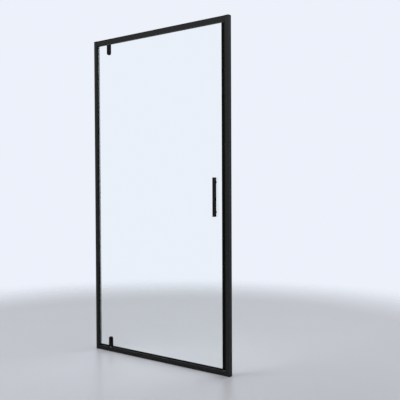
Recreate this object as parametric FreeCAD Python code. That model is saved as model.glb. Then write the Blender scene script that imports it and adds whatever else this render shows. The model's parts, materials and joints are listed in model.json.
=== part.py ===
import FreeCAD, Part
import math
import os

# Pivot shower door for a niche, all sizes in millimetres.
#
# A telescopic aluminium frame stands between two walls. Two jambs slide in U-shaped wall
# profiles, a top rail and a sill join them, and one glass leaf turns on two pins that stand
# in blocks inside the rails. The pins are set in from the hinge side, so the leaf has a
# short tail that swings into the shower while its long side swings out.
#
# Frame of the model: X runs to the right as seen from outside the shower, Y runs into the
# shower, Z runs up. The origin is the middle of the sill's underside.

V = FreeCAD.Vector

# ---------------------------------------------------------------- driving dimensions
# niche and frame
WIDTH = 1000.0              # wall to wall
HEIGHT = 1900.0
PROFILE_DEPTH = 26.0        # wall profile, front to back
PROFILE_REACH = 18.0        # wall profile, out from the wall
PROFILE_WEB = 1.5
PROFILE_FLANGE = 1.3
PROFILE_CORNER = 1.0
WEB_RIB_HEIGHT = 1.0        # two ribs on the web keep the wall screws in line
WEB_RIB_WIDTH = 1.2
WEB_RIB_OFFSET = 7.0
SLIDE_GAP = 0.1             # jamb in wall profile, each side

JAMB_REACH = 26.0           # jamb's inner face, out from the wall
JAMB_WIDTH = 18.0
JAMB_WALL = 1.4
JAMB_CORNER = 0.8
GROOVE_SLOT = 3.6           # seal groove in the jamb's inner face
GROOVE_WIDTH = 7.6
GROOVE_DEPTH = 3.2

TOP_RAIL_HEIGHT = 30.0
SILL_HEIGHT = 24.0          # at the front
SILL_FALL = 1.5             # the sill's top falls this much to the inside
RAIL_WALL = 1.4
RAIL_SEAT_WALL = 2.4        # the wall that a pivot block is screwed to
RAIL_CORNER = 0.8
SEALANT_GROOVE = 3.0
SEALANT_GROOVE_DEPTH = 0.8
SEALANT_GROOVE_OFFSET = 6.5

END_CAP = 3.0
END_CAP_LEG = 1.2
END_CAP_LEG_SPREAD = 10.0
END_CAP_LEG_LENGTH = 10.0

# screws of the frame
SCREW_SIDES = 10            # screws have no threads, and are ten-sided to stay light
CORNER_SCREW_D = 4.2
CORNER_SCREW_LENGTH = 38.0
CORNER_HEAD_D = 7.6
CORNER_HEAD_H = 2.6
CORNER_SCREW_INSET_Y = 4.0  # screw axis behind the rail's front and back faces
TOP_SCREW_DROP = 8.0        # screw axis below the top of the frame
SILL_SCREW_RISE = 5.5       # screw axis above the sill's underside
PORT_WALL = 1.3
PORT_SLOT = 1.6

WALL_HOLE_D = 5.5
WALL_HOLE_OUTER_SPACING = 1660.0
WALL_HOLE_INNER_SPACING = 580.0

LOCK_SCREW_D = 3.9
LOCK_SCREW_LENGTH = 9.5
LOCK_HEAD_D = 7.6
LOCK_HEAD_H = 2.2
LOCK_SCREW_REACH = 13.0     # screw axis out from the wall
LOCK_SCREW_SPACING = 800.0

# pivots
PIVOT_INSET = 117.0         # pivot axis from the hinge-side wall
PIN_D = 6.0
PIN_HEAD_D = 9.0
PIN_HEAD_H = 2.5
PIN_ENGAGEMENT = 11.0       # pin inside the bush
PIN_CHAMFER = 0.8
BLOCK_LENGTH = 40.0
TOP_BLOCK_HEIGHT = 15.0
SILL_BLOCK_HEIGHT = 10.3    # body above the screw ports
SILL_BLOCK_FOOT = 13.0
BLOCK_CLEARANCE = 0.2
BLOCK_CORNER = 1.0
SILL_BOSS_D = 16.0
BLOCK_SCREW_D = 4.0
BLOCK_SCREW_LENGTH = 14.0
BLOCK_SCREW_HEAD_D = 8.0
BLOCK_SCREW_OFFSET = 13.0
THRUST_WASHER_D = 14.0
THRUST_WASHER_T = 1.0
THRUST_CLEARANCE = 0.1
RUNNING_CLEARANCE = 0.05    # radial, pin in bush
FIT_CLEARANCE = 0.05        # radial, screws and bushes in their holes
BUSH_D = 9.0
BUSH_LENGTH = 12.0
BUSH_FLANGE_D = 13.0
BUSH_FLANGE_T = 1.5

# glass leaf
GLASS_T = 6.0
GLASS_CORNER = 3.0
TAIL_GAP = 4.0              # glass to hinge jamb
STRIKE_GAP = 17.0           # glass to strike jamb, filled by the two magnet profiles
GLASS_SET_BACK = 1.0        # glass edge behind the bracket's end
NOTCH_WIDTH = 15.0
NOTCH_DEPTH = 48.0
GLASS_HOLE_D = 8.0

# pivot brackets
BRACKET_WIDTH = 24.0
BRACKET_HEIGHT = 62.0
BRACKET_PLATE = 4.0
BRACKET_EDGE = 1.0
GASKET_T = 1.0
GASKET_INSET = 1.0
BOSS_CLEARANCE = 0.75       # boss in the glass notch
BOSS_RISE = 1.5             # boss past the rear gasket, into the back plate
POCKET_CLEARANCE = 0.1
BUSH_BORE_SPARE = 0.5
CLAMP_SCREW_D = 4.0
CLAMP_SCREW_LENGTH = 12.0
CLAMP_SCREW_HEAD_D = 8.0
CLAMP_SCREW_FIRST = 27.0    # from the bracket's end
CLAMP_SCREW_PITCH = 13.0
CLAMP_HOLE_SPARE = 2.0
HEX_KEY = 3.0
HEX_DEPTH = 1.6

# seals
SEAL_WALL = 1.2
STRIKE_LEG = 8.0            # grip of the strike seal on the glass
MAGNET_CHAMBER = 7.2
MAGNET_CHAMBER_DEPTH = 10.4
CHAMBER_WALL = 0.9
MAGNET_CLEARANCE = 0.1
MAGNET_GAP = 1.0            # between the closed magnet profiles
HOLDER_DEPTH = 12.0
FOOT_CLEARANCE = 0.1
FOOT_NECK = 0.2             # neck past the jamb's wall
FOOT_T = 1.6
BULB_RADIUS = 3.5
BULB_WALL = 1.0
SEAL_END_GAP = 0.3          # jamb seals to sill and top rail
DRIP_LEG = 5.9              # grip of the drip seal on the glass
DRIP_BASE = 2.0
DRIP_FIN = 1.2
DRIP_FIN_T = 1.0
DRIP_FIN_LEAN = 1.4
DRIP_END_GAP = 0.5
DRIP_TAIL_INSET = 1.0

# handle
HANDLE_WIDTH = 15.0
HANDLE_DEPTH = 16.5
HANDLE_LENGTH = 210.0
HANDLE_CENTRE = 948.0
HANDLE_INSET = 51.5         # handle's middle from the glass's strike edge
HANDLE_CORNER = 1.5
GRIP_RADIUS = 9.0
GRIP_DEPTH = 1.2
HANDLE_GASKET_INSET = 1.0
HANDLE_SCREW_PITCH = 160.0
HANDLE_SCREW_D = 5.0
HANDLE_SCREW_LENGTH = 16.0
HANDLE_HEAD_D = 9.5
HANDLE_HEAD_H = 2.75
HANDLE_HOLE_SPARE = 2.0
WASHER_D = 14.0
WASHER_T = 1.0

# ---------------------------------------------------------------- places that follow
TOP = -1                    # the top bracket hangs down from its end
BOTTOM = 1                  # the bottom bracket rises from its end
HALF_WIDTH = WIDTH / 2
JAMB_DEPTH = PROFILE_DEPTH - 2 * (PROFILE_FLANGE + SLIDE_GAP)
HALF_DEPTH = JAMB_DEPTH / 2
JAMB_FACE = HALF_WIDTH - JAMB_REACH
JAMB_BACK = JAMB_FACE + JAMB_WIDTH
PROFILE_TOP = HEIGHT - END_CAP
TOP_RAIL_UNDERSIDE = HEIGHT - TOP_RAIL_HEIGHT
TOP_SCREW_Z = HEIGHT - TOP_SCREW_DROP
SCREW_Y = HALF_DEPTH - CORNER_SCREW_INSET_Y
PORT_R = CORNER_SCREW_D / 2 + FIT_CLEARANCE + PORT_WALL

PIVOT_X = -HALF_WIDTH + PIVOT_INSET
PIVOT_GAP = THRUST_WASHER_T + THRUST_CLEARANCE + BUSH_FLANGE_T
TOP_BRACKET_END = TOP_RAIL_UNDERSIDE - PIVOT_GAP
BOTTOM_BRACKET_END = SILL_HEIGHT + PIVOT_GAP

GLASS_LEFT = -JAMB_FACE + TAIL_GAP
GLASS_RIGHT = JAMB_FACE - STRIKE_GAP
GLASS_BOTTOM = BOTTOM_BRACKET_END + GLASS_SET_BACK
GLASS_TOP = TOP_BRACKET_END - GLASS_SET_BACK
GLASS_FACE = GLASS_T / 2
PLATE_FACE = GLASS_FACE + GASKET_T
BRACKET_FACE = PLATE_FACE + BRACKET_PLATE
BOSS_REAR = PLATE_FACE + BOSS_RISE

HOLDER_REACH = STRIKE_GAP - SEAL_WALL - MAGNET_CHAMBER - MAGNET_GAP
HANDLE_X = GLASS_RIGHT - HANDLE_INSET
HANDLE_SCREW_Z = [HANDLE_CENTRE - HANDLE_SCREW_PITCH / 2, HANDLE_CENTRE + HANDLE_SCREW_PITCH / 2]


# ---------------------------------------------------------------- shape helpers
def block(x0, x1, y0, y1, z0, z1):
    """Plain block between six limits, in any order."""
    low = V(min(x0, x1), min(y0, y1), min(z0, z1))
    return Part.makeBox(abs(x1 - x0), abs(y1 - y0), abs(z1 - z0), low)


def rod(centre, direction, radius, length):
    return Part.makeCylinder(radius, length, centre, direction)


def edges_along(shape, axis):
    """The straight edges that run along an axis."""
    edges = []
    for edge in shape.Edges:
        run = edge.Vertexes[-1].Point - edge.Vertexes[0].Point
        if run.Length > 0 and abs(run.normalize().dot(axis)) > 0.999:
            edges.append(edge)
    return edges


def round_along(shape, radius, axis):
    return shape.makeFillet(radius, edges_along(shape, axis))


def bevel_along(shape, size, axis):
    return shape.makeChamfer(size, edges_along(shape, axis))


def extrude_outline(points, travel):
    """Extrude a closed polygon of 3-D points along a vector."""
    wire = Part.makePolygon(points + [points[0]])
    return Part.Face(wire).extrude(travel)


def mirrored(shape):
    """The same piece on the other side of the frame's middle."""
    return shape.mirror(V(0, 0, 0), V(1, 0, 0))


def closed_edges_at(shape, point, direction):
    """Round edges that lie in the plane through a point, square to a direction."""
    return [edge for edge in shape.Edges
            if edge.Closed and abs((edge.CenterOfMass - point).dot(direction)) < 1e-6]


def cut_all(shape, tools):
    for tool in tools:
        shape = shape.cut(tool)
    return shape


def join(shapes):
    whole = shapes[0].multiFuse(shapes[1:]) if len(shapes) > 1 else shapes[0]
    return whole.removeSplitter()


def save(shape, node):
    os.makedirs("parts", exist_ok=True)
    shape.exportStep("parts/" + node + ".step")


# ---------------------------------------------------------------- fasteners
def polygon_at(centre, direction, radius, sides):
    """Corners of a regular polygon square to a direction, always turned the same way."""
    turn = FreeCAD.Rotation(V(0, 0, 1), direction)
    angles = [2 * math.pi * i / sides for i in range(sides)]
    return [centre + turn.multVec(V(radius * math.cos(a), radius * math.sin(a), 0)) for a in angles]


def screw_rod(start, direction, radius, length):
    """A screw's shank or head, or the hole it makes: a ten-sided rod."""
    return extrude_outline(polygon_at(start, direction, radius, SCREW_SIDES), direction * length)


def screw_cone(start, direction, start_radius, end_radius, length):
    rings = []
    for centre, radius in ((start, start_radius), (start + direction * length, end_radius)):
        corners = polygon_at(centre, direction, radius, SCREW_SIDES)
        rings.append(Part.makePolygon(corners + [corners[0]]))
    return Part.makeLoft(rings, True, True)


def screw_hole(start, direction, shank_d, length):
    return screw_rod(start, direction, shank_d / 2 + FIT_CLEARANCE, length)


def pan_screw(seat, direction, shank_d, length, head_d, head_h):
    """Pan-head screw. The head's underside lies at seat."""
    head = screw_rod(seat - direction * head_h, direction, head_d / 2, head_h)
    return join([head, screw_rod(seat, direction, shank_d / 2, length)])


def countersunk_screw(face, direction, shank_d, length, head_d):
    """Countersunk screw whose flat top lies at face."""
    cone_h = (head_d - shank_d) / 2
    cone = screw_cone(face, direction, head_d / 2, shank_d / 2, cone_h)
    return join([cone, screw_rod(face, direction, shank_d / 2, length)])


def countersunk_hole(face, direction, shank_d, length, head_d):
    """The room that a countersunk screw needs."""
    cone_h = (head_d - shank_d) / 2
    cone = screw_cone(face, direction, head_d / 2 + FIT_CLEARANCE, shank_d / 2 + FIT_CLEARANCE, cone_h)
    return join([cone, screw_hole(face, direction, shank_d, length)])


def hex_socket(face, direction):
    """Hexagon socket, cut from a head's top towards its shank."""
    corners = polygon_at(face, direction, HEX_KEY / math.sqrt(3), 6)
    return extrude_outline(corners, direction * HEX_DEPTH)


# ---------------------------------------------------------------- fixed frame, side profiles
def wall_profile():
    """U channel on the hinge-side wall: web, two flanges, two ribs and four wall-screw holes."""
    web_x = -HALF_WIDTH
    half = PROFILE_DEPTH / 2
    outer = block(web_x, web_x + PROFILE_REACH, -half, half, 0, PROFILE_TOP)
    outer = round_along(outer, PROFILE_CORNER, V(0, 0, 1))
    inner_half = half - PROFILE_FLANGE
    channel = block(web_x + PROFILE_WEB, web_x + PROFILE_REACH + 1, -inner_half, inner_half,
                    -1, PROFILE_TOP + 1)
    profile = outer.cut(channel)
    ribs = []
    for y in (-WEB_RIB_OFFSET, WEB_RIB_OFFSET):
        ribs.append(block(web_x + PROFILE_WEB / 2, web_x + PROFILE_WEB + WEB_RIB_HEIGHT,
                          y - WEB_RIB_WIDTH / 2, y + WEB_RIB_WIDTH / 2, 0, PROFILE_TOP))
    profile = join([profile] + ribs)
    holes = [rod(V(web_x - 1, 0, z), V(1, 0, 0), WALL_HOLE_D / 2, PROFILE_WEB + 2)
             for z in wall_hole_heights()]
    holes += [screw_hole(V(lock_screw_x(), half + 1, z), V(0, -1, 0), LOCK_SCREW_D, PROFILE_FLANGE + 2)
              for z in lock_screw_heights()]
    return cut_all(profile, holes)


def wall_hole_heights():
    middle = HEIGHT / 2
    spacings = (WALL_HOLE_OUTER_SPACING, WALL_HOLE_INNER_SPACING)
    return [middle + side * spacing / 2 for spacing in spacings for side in (-1, 1)]


def lock_screw_heights():
    return [HEIGHT / 2 + step * LOCK_SCREW_SPACING for step in (-1, 0, 1)]


def lock_screw_x():
    return -HALF_WIDTH + LOCK_SCREW_REACH


def groove_floor():
    """X of the seal groove's floor in the hinge jamb."""
    return -JAMB_FACE - JAMB_WALL - GROOVE_DEPTH


def jamb():
    """Hinge jamb: a hollow extrusion with a boxed seal groove in its inner face."""
    face = -JAMB_FACE
    back = -JAMB_BACK
    body = block(back, face, -HALF_DEPTH, HALF_DEPTH, 0, PROFILE_TOP)
    body = round_along(body, JAMB_CORNER, V(0, 0, 1))
    inside = HALF_DEPTH - JAMB_WALL
    box_half = GROOVE_WIDTH / 2 + JAMB_WALL
    low = -1
    high = PROFILE_TOP + 1
    cavity = block(back + JAMB_WALL, face - JAMB_WALL, -inside, inside, low, high)
    groove_box = block(groove_floor() - JAMB_WALL, face, -box_half, box_half, low, high)
    hollows = [
        cavity.cut(groove_box),
        block(groove_floor(), face - JAMB_WALL, -GROOVE_WIDTH / 2, GROOVE_WIDTH / 2, low, high),
        block(face - JAMB_WALL - 1, face + 1, -GROOVE_SLOT / 2, GROOVE_SLOT / 2, low, high),
    ]
    body = cut_all(body, hollows)
    holes = []
    for z in (SILL_SCREW_RISE, TOP_SCREW_Z):
        for side in (-1, 1):
            holes.append(screw_hole(V(back - 1, side * SCREW_Y, z), V(1, 0, 0), CORNER_SCREW_D, JAMB_WIDTH + 2))
    for z in lock_screw_heights():
        holes.append(screw_hole(V(lock_screw_x(), HALF_DEPTH + 1, z), V(0, -1, 0), LOCK_SCREW_D, JAMB_WALL + 2))
    return cut_all(body, holes)


def end_cap():
    """Plastic cap over the wall profile and jamb, held by two legs inside the jamb."""
    half = PROFILE_DEPTH / 2
    plate = block(-HALF_WIDTH, -JAMB_FACE, -half, half, PROFILE_TOP, HEIGHT)
    plate = round_along(plate, PROFILE_CORNER, V(0, 0, 1))
    leg_low = -JAMB_BACK + JAMB_WALL + SLIDE_GAP
    leg_high = groove_floor() - JAMB_WALL - SLIDE_GAP
    legs = []
    for side in (-1, 1):
        outside = side * END_CAP_LEG_SPREAD / 2
        legs.append(block(leg_low, leg_high, outside - side * END_CAP_LEG, outside,
                          PROFILE_TOP - END_CAP_LEG_LENGTH, PROFILE_TOP + END_CAP / 2))
    return join([plate] + legs)


# ---------------------------------------------------------------- fixed frame, rails
def screw_port(z, side):
    """Slotted tube along a rail that a self-tapping screw cuts into, and its bore."""
    y = side * SCREW_Y
    start = V(-JAMB_FACE, y, z)
    tube = screw_rod(start, V(1, 0, 0), PORT_R, 2 * JAMB_FACE)
    bore = screw_hole(start, V(1, 0, 0), CORNER_SCREW_D, 2 * JAMB_FACE)
    slot = block(-JAMB_FACE, JAMB_FACE, y, y - side * 2 * PORT_R, z - PORT_SLOT / 2, z + PORT_SLOT / 2)
    return tube, join([bore, slot])


def hollow_rail(outer, hollow, screw_z):
    """Hollow extrusion with a screw port behind each of its two faces."""
    rail = outer.cut(hollow)
    tubes = []
    bores = []
    for side in (-1, 1):
        tube, bore = screw_port(screw_z, side)
        tubes.append(tube.common(outer))
        bores.append(bore)
    rail = join([rail] + tubes)
    return cut_all(rail, bores)


def block_screw_x():
    return [PIVOT_X - BLOCK_SCREW_OFFSET, PIVOT_X + BLOCK_SCREW_OFFSET]


def top_rail():
    outer = block(-JAMB_FACE, JAMB_FACE, -HALF_DEPTH, HALF_DEPTH, TOP_RAIL_UNDERSIDE, HEIGHT)
    outer = round_along(outer, RAIL_CORNER, V(1, 0, 0))
    inside = HALF_DEPTH - RAIL_WALL
    hollow = block(-JAMB_FACE - 1, JAMB_FACE + 1, -inside, inside,
                   TOP_RAIL_UNDERSIDE + RAIL_SEAT_WALL, HEIGHT - RAIL_WALL)
    rail = hollow_rail(outer, hollow, TOP_SCREW_Z)
    cuts = [rod(V(PIVOT_X, 0, TOP_RAIL_UNDERSIDE - 1), V(0, 0, 1), PIN_D / 2 + BLOCK_CLEARANCE,
                RAIL_SEAT_WALL + 2)]
    for x in block_screw_x():
        cuts.append(countersunk_hole(V(x, 0, TOP_RAIL_UNDERSIDE), V(0, 0, 1), BLOCK_SCREW_D,
                                     BLOCK_SCREW_LENGTH, BLOCK_SCREW_HEAD_D))
    return cut_all(rail, cuts)


def sill_top(y):
    """Height of the sill's sloping top at a depth y."""
    return SILL_HEIGHT - SILL_FALL * (y + HALF_DEPTH) / JAMB_DEPTH


def sill_rail():
    """Sill extrusion: top falls to the inside, underside has two sealant grooves."""
    start = -JAMB_FACE
    travel = V(2 * JAMB_FACE, 0, 0)
    outline = [
        V(start, -HALF_DEPTH, 0),
        V(start, HALF_DEPTH, 0),
        V(start, HALF_DEPTH, sill_top(HALF_DEPTH)),
        V(start, -HALF_DEPTH, sill_top(-HALF_DEPTH)),
    ]
    outer = round_along(extrude_outline(outline, travel), RAIL_CORNER, V(1, 0, 0))
    inside = HALF_DEPTH - RAIL_WALL
    hollow_outline = [
        V(start, -inside, RAIL_SEAT_WALL),
        V(start, inside, RAIL_SEAT_WALL),
        V(start, inside, sill_top(inside) - RAIL_WALL),
        V(start, -inside, sill_top(-inside) - RAIL_WALL),
    ]
    rail = hollow_rail(outer, extrude_outline(hollow_outline, travel), SILL_SCREW_RISE)
    cuts = [rod(V(PIVOT_X, 0, SILL_HEIGHT / 2), V(0, 0, 1), SILL_BOSS_D / 2 + BLOCK_CLEARANCE, SILL_HEIGHT)]
    for y in (-SEALANT_GROOVE_OFFSET, SEALANT_GROOVE_OFFSET):
        cuts.append(block(-JAMB_FACE, JAMB_FACE, y - SEALANT_GROOVE / 2, y + SEALANT_GROOVE / 2,
                          -1, SEALANT_GROOVE_DEPTH))
    for x in block_screw_x():
        cuts.append(countersunk_hole(V(x, 0, 0), V(0, 0, 1), BLOCK_SCREW_D, BLOCK_SCREW_LENGTH / 2,
                                     BLOCK_SCREW_HEAD_D))
    return cut_all(rail, cuts)


def both_sides(pieces):
    """The pieces and their mirror images as one group of separate solids."""
    return Part.makeCompound(pieces + [mirrored(piece) for piece in pieces])


def corner_screws():
    """Two screws at each end of each rail, through the jamb into the rail's ports."""
    screws = []
    for z in (SILL_SCREW_RISE, TOP_SCREW_Z):
        for side in (-1, 1):
            screws.append(pan_screw(V(-JAMB_BACK, side * SCREW_Y, z), V(1, 0, 0), CORNER_SCREW_D,
                                    CORNER_SCREW_LENGTH, CORNER_HEAD_D, CORNER_HEAD_H))
    return both_sides(screws)


def locking_screws():
    """Screws through the wall profile's rear flange that fix the jamb once it is set plumb."""
    seat_y = PROFILE_DEPTH / 2
    return both_sides([pan_screw(V(lock_screw_x(), seat_y, z), V(0, -1, 0), LOCK_SCREW_D, LOCK_SCREW_LENGTH,
                                 LOCK_HEAD_D, LOCK_HEAD_H) for z in lock_screw_heights()])


# ---------------------------------------------------------------- pivots in the rails
def pin(head_z, rise, tip_z):
    """Steel pin, with a many-sided head that keeps it from turning in its block.

    rise is +1 where the shank points up and -1 where it points down.
    """
    direction = V(0, 0, rise)
    start = V(PIVOT_X, 0, head_z)
    head = screw_rod(start, direction, PIN_HEAD_D / 2, PIN_HEAD_H)
    length = abs(tip_z - head_z)
    shank = rod(start, direction, PIN_D / 2, length)
    tip = closed_edges_at(shank, V(PIVOT_X, 0, tip_z), direction)
    return join([head, shank.makeChamfer(PIN_CHAMFER, tip)])


def pin_bore(head_z, rise, length):
    """Bore and head recess for a pin in its block."""
    direction = V(0, 0, rise)
    start = V(PIVOT_X, 0, head_z)
    recess = screw_rod(start - direction, direction, PIN_HEAD_D / 2 + FIT_CLEARANCE, PIN_HEAD_H + 1)
    bore = rod(start, direction, PIN_D / 2 + FIT_CLEARANCE, length)
    return join([recess, bore])


def top_block_top():
    return TOP_RAIL_UNDERSIDE + RAIL_SEAT_WALL + TOP_BLOCK_HEIGHT


def top_pivot_block():
    half = HALF_DEPTH - RAIL_WALL - BLOCK_CLEARANCE
    low = TOP_RAIL_UNDERSIDE + RAIL_SEAT_WALL
    body = block(PIVOT_X - BLOCK_LENGTH / 2, PIVOT_X + BLOCK_LENGTH / 2, -half, half, low, top_block_top())
    body = bevel_along(body, BLOCK_CORNER, V(0, 0, 1))
    cuts = [pin_bore(top_block_top(), -1, TOP_BLOCK_HEIGHT + 1)]
    for x in block_screw_x():
        cuts.append(screw_hole(V(x, 0, TOP_RAIL_UNDERSIDE), V(0, 0, 1), BLOCK_SCREW_D, BLOCK_SCREW_LENGTH + 1))
    return cut_all(body, cuts)


def sill_block_floor():
    """Underside of the sill block's body, just above the screw ports."""
    return SILL_SCREW_RISE + PORT_R + BLOCK_CLEARANCE


def bottom_pivot_block():
    """Block in the sill: a body over the screw ports, two feet between them and a round boss."""
    half = HALF_DEPTH - RAIL_WALL - BLOCK_CLEARANCE
    floor = sill_block_floor()
    low = PIVOT_X - BLOCK_LENGTH / 2
    high = PIVOT_X + BLOCK_LENGTH / 2
    body = block(low, high, -half, half, floor, floor + SILL_BLOCK_HEIGHT)
    body = bevel_along(body, BLOCK_CORNER, V(0, 0, 1))
    foot_half = SCREW_Y - PORT_R - BLOCK_CLEARANCE
    feet = [
        block(low, low + SILL_BLOCK_FOOT, -foot_half, foot_half, RAIL_SEAT_WALL, floor + 1),
        block(high - SILL_BLOCK_FOOT, high, -foot_half, foot_half, RAIL_SEAT_WALL, floor + 1),
    ]
    boss = rod(V(PIVOT_X, 0, floor), V(0, 0, 1), SILL_BOSS_D / 2, SILL_HEIGHT - floor)
    whole = join([body, boss] + feet)
    cuts = [pin_bore(floor, 1, SILL_HEIGHT - floor + 1)]
    for x in block_screw_x():
        cuts.append(screw_hole(V(x, 0, 0), V(0, 0, 1), BLOCK_SCREW_D, BLOCK_SCREW_LENGTH + 1))
    return cut_all(whole, cuts)


def pivot_blocks():
    return Part.makeCompound([top_pivot_block(), bottom_pivot_block()])


def pivot_pins():
    """The top pin hangs from its block's top, the bottom pin stands on the same axis."""
    top = pin(top_block_top(), -1, TOP_BRACKET_END + PIN_ENGAGEMENT * TOP)
    bottom = pin(sill_block_floor(), 1, BOTTOM_BRACKET_END + PIN_ENGAGEMENT * BOTTOM)
    return Part.makeCompound([top, bottom])


def block_screws():
    """Countersunk screws from below, into the top block and into the sill block's feet."""
    screws = []
    for face_z in (TOP_RAIL_UNDERSIDE, 0.0):
        for x in block_screw_x():
            screws.append(countersunk_screw(V(x, 0, face_z), V(0, 0, 1), BLOCK_SCREW_D,
                                            BLOCK_SCREW_LENGTH, BLOCK_SCREW_HEAD_D))
    return Part.makeCompound(screws)


def pivot_washers():
    """Washers on the pins: the lower one carries the leaf, the upper one guides it."""
    washers = []
    for seat_z, inward in ((TOP_RAIL_UNDERSIDE, TOP), (SILL_HEIGHT, BOTTOM)):
        seat = V(PIVOT_X, 0, seat_z)
        disc = rod(seat, V(0, 0, inward), THRUST_WASHER_D / 2, THRUST_WASHER_T)
        washers.append(disc.cut(rod(seat, V(0, 0, inward), PIN_D / 2 + FIT_CLEARANCE, THRUST_WASHER_T)))
    return Part.makeCompound(washers)


# ---------------------------------------------------------------- leaf: glass and brackets
def round_ended(width, height, end_z, inward, y0, y1):
    """Plate at the pivot axis: square at end_z, with a half-round end height away from it.

    inward is +1 where the plate rises from end_z and -1 where it hangs from it.
    """
    radius = width / 2
    round_z = end_z + inward * (height - radius)
    straight = block(PIVOT_X - radius, PIVOT_X + radius, y0, y1, end_z, round_z)
    low_y = min(y0, y1)
    disc = rod(V(PIVOT_X, low_y, round_z), V(0, 1, 0), radius, abs(y1 - y0))
    return join([straight, disc])


def pivot_end(inward):
    """End height of the bracket at the bottom (+1) or at the top (-1) of the leaf."""
    return BOTTOM_BRACKET_END if inward > 0 else TOP_BRACKET_END


def glass_edge(inward):
    return GLASS_BOTTOM if inward > 0 else GLASS_TOP


def glass_panel():
    """Toughened glass with a round-ended notch for each bracket and two handle holes."""
    sheet = block(GLASS_LEFT, GLASS_RIGHT, -GLASS_FACE, GLASS_FACE, GLASS_BOTTOM, GLASS_TOP)
    sheet = round_along(sheet, GLASS_CORNER, V(0, 1, 0))
    cuts = []
    for inward in (TOP, BOTTOM):
        mouth = glass_edge(inward) - inward
        cuts.append(round_ended(NOTCH_WIDTH, NOTCH_DEPTH + 1, mouth, inward, -GLASS_T, GLASS_T))
    for z in HANDLE_SCREW_Z:
        cuts.append(rod(V(HANDLE_X, -GLASS_T, z), V(0, 1, 0), GLASS_HOLE_D / 2, 2 * GLASS_T))
    return cut_all(sheet, cuts)


def clamp_screw_heights(inward):
    first = pivot_end(inward) + inward * CLAMP_SCREW_FIRST
    return [first, first + inward * CLAMP_SCREW_PITCH]


def bevelled(plate, face_y):
    """Bevel the outer edge of a bracket plate's visible face, but not its square end."""
    edges = []
    for edge in plate.Edges:
        on_face = all(abs(vertex.Point.y - face_y) < 1e-6 for vertex in edge.Vertexes)
        middle = edge.valueAt((edge.FirstParameter + edge.LastParameter) / 2)
        is_square_end = abs(middle.x - PIVOT_X) < 1e-6 and edge.Curve.TypeId == "Part::GeomLine"
        if on_face and abs(middle.y - face_y) < 1e-6 and not is_square_end:
            edges.append(edge)
    return plate.makeChamfer(BRACKET_EDGE, edges)


def bracket_front(inward):
    """Front half of a pivot bracket, with the boss that fills the notch and holds the bush."""
    end = pivot_end(inward)
    plate = round_ended(BRACKET_WIDTH, BRACKET_HEIGHT, end, inward, -BRACKET_FACE, -PLATE_FACE)
    plate = bevelled(plate, -BRACKET_FACE)
    boss_width = NOTCH_WIDTH - 2 * BOSS_CLEARANCE
    boss_height = NOTCH_DEPTH + GLASS_SET_BACK - BOSS_CLEARANCE
    boss = round_ended(boss_width, boss_height, end, inward, -PLATE_FACE - 1, BOSS_REAR)
    whole = join([plate, boss])
    cuts = [rod(V(PIVOT_X, 0, end), V(0, 0, inward), BUSH_D / 2 + FIT_CLEARANCE,
                BUSH_LENGTH + BUSH_BORE_SPARE)]
    hole_depth = BOSS_REAR - (BRACKET_FACE - CLAMP_SCREW_LENGTH) + CLAMP_HOLE_SPARE
    for z in clamp_screw_heights(inward):
        cuts.append(screw_hole(V(PIVOT_X, BOSS_REAR, z), V(0, -1, 0), CLAMP_SCREW_D, hole_depth))
    return cut_all(whole, cuts)


def bracket_back(inward):
    """Back half of a pivot bracket, pocketed over the boss, with two countersunk holes."""
    end = pivot_end(inward)
    plate = round_ended(BRACKET_WIDTH, BRACKET_HEIGHT, end, inward, PLATE_FACE, BRACKET_FACE)
    plate = bevelled(plate, BRACKET_FACE)
    pocket_width = NOTCH_WIDTH - 2 * BOSS_CLEARANCE + 2 * POCKET_CLEARANCE
    pocket_height = NOTCH_DEPTH + GLASS_SET_BACK - BOSS_CLEARANCE + POCKET_CLEARANCE + 1
    pocket = round_ended(pocket_width, pocket_height, end - inward, inward, PLATE_FACE - 1,
                         BOSS_REAR + POCKET_CLEARANCE)
    cuts = [pocket]
    for z in clamp_screw_heights(inward):
        cuts.append(countersunk_hole(V(PIVOT_X, BRACKET_FACE, z), V(0, -1, 0), CLAMP_SCREW_D,
                                     CLAMP_SCREW_LENGTH, CLAMP_SCREW_HEAD_D))
    return cut_all(plate, cuts)


def bracket_gaskets():
    """Soft sheets between each bracket plate and the glass, with a straight notch for the boss."""
    sheets = []
    for inward in (TOP, BOTTOM):
        edge = glass_edge(inward)
        height = BRACKET_HEIGHT - GASKET_INSET - GLASS_SET_BACK
        notch = block(PIVOT_X - NOTCH_WIDTH / 2, PIVOT_X + NOTCH_WIDTH / 2, -BRACKET_FACE, BRACKET_FACE,
                      edge - inward, edge + inward * NOTCH_DEPTH)
        for side in (-1, 1):
            near = side * GLASS_FACE
            far = side * PLATE_FACE
            sheet = round_ended(BRACKET_WIDTH - 2 * GASKET_INSET, height, edge, inward, near, far)
            sheets.append(sheet.cut(notch))
    return Part.makeCompound(sheets)


def bracket_screws():
    """Countersunk clamp screws from the shower side, with hexagon sockets."""
    screws = []
    for inward in (TOP, BOTTOM):
        for z in clamp_screw_heights(inward):
            face = V(PIVOT_X, BRACKET_FACE, z)
            screw = countersunk_screw(face, V(0, -1, 0), CLAMP_SCREW_D, CLAMP_SCREW_LENGTH,
                                      CLAMP_SCREW_HEAD_D)
            screws.append(screw.cut(hex_socket(face, V(0, -1, 0))))
    return Part.makeCompound(screws)


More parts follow.
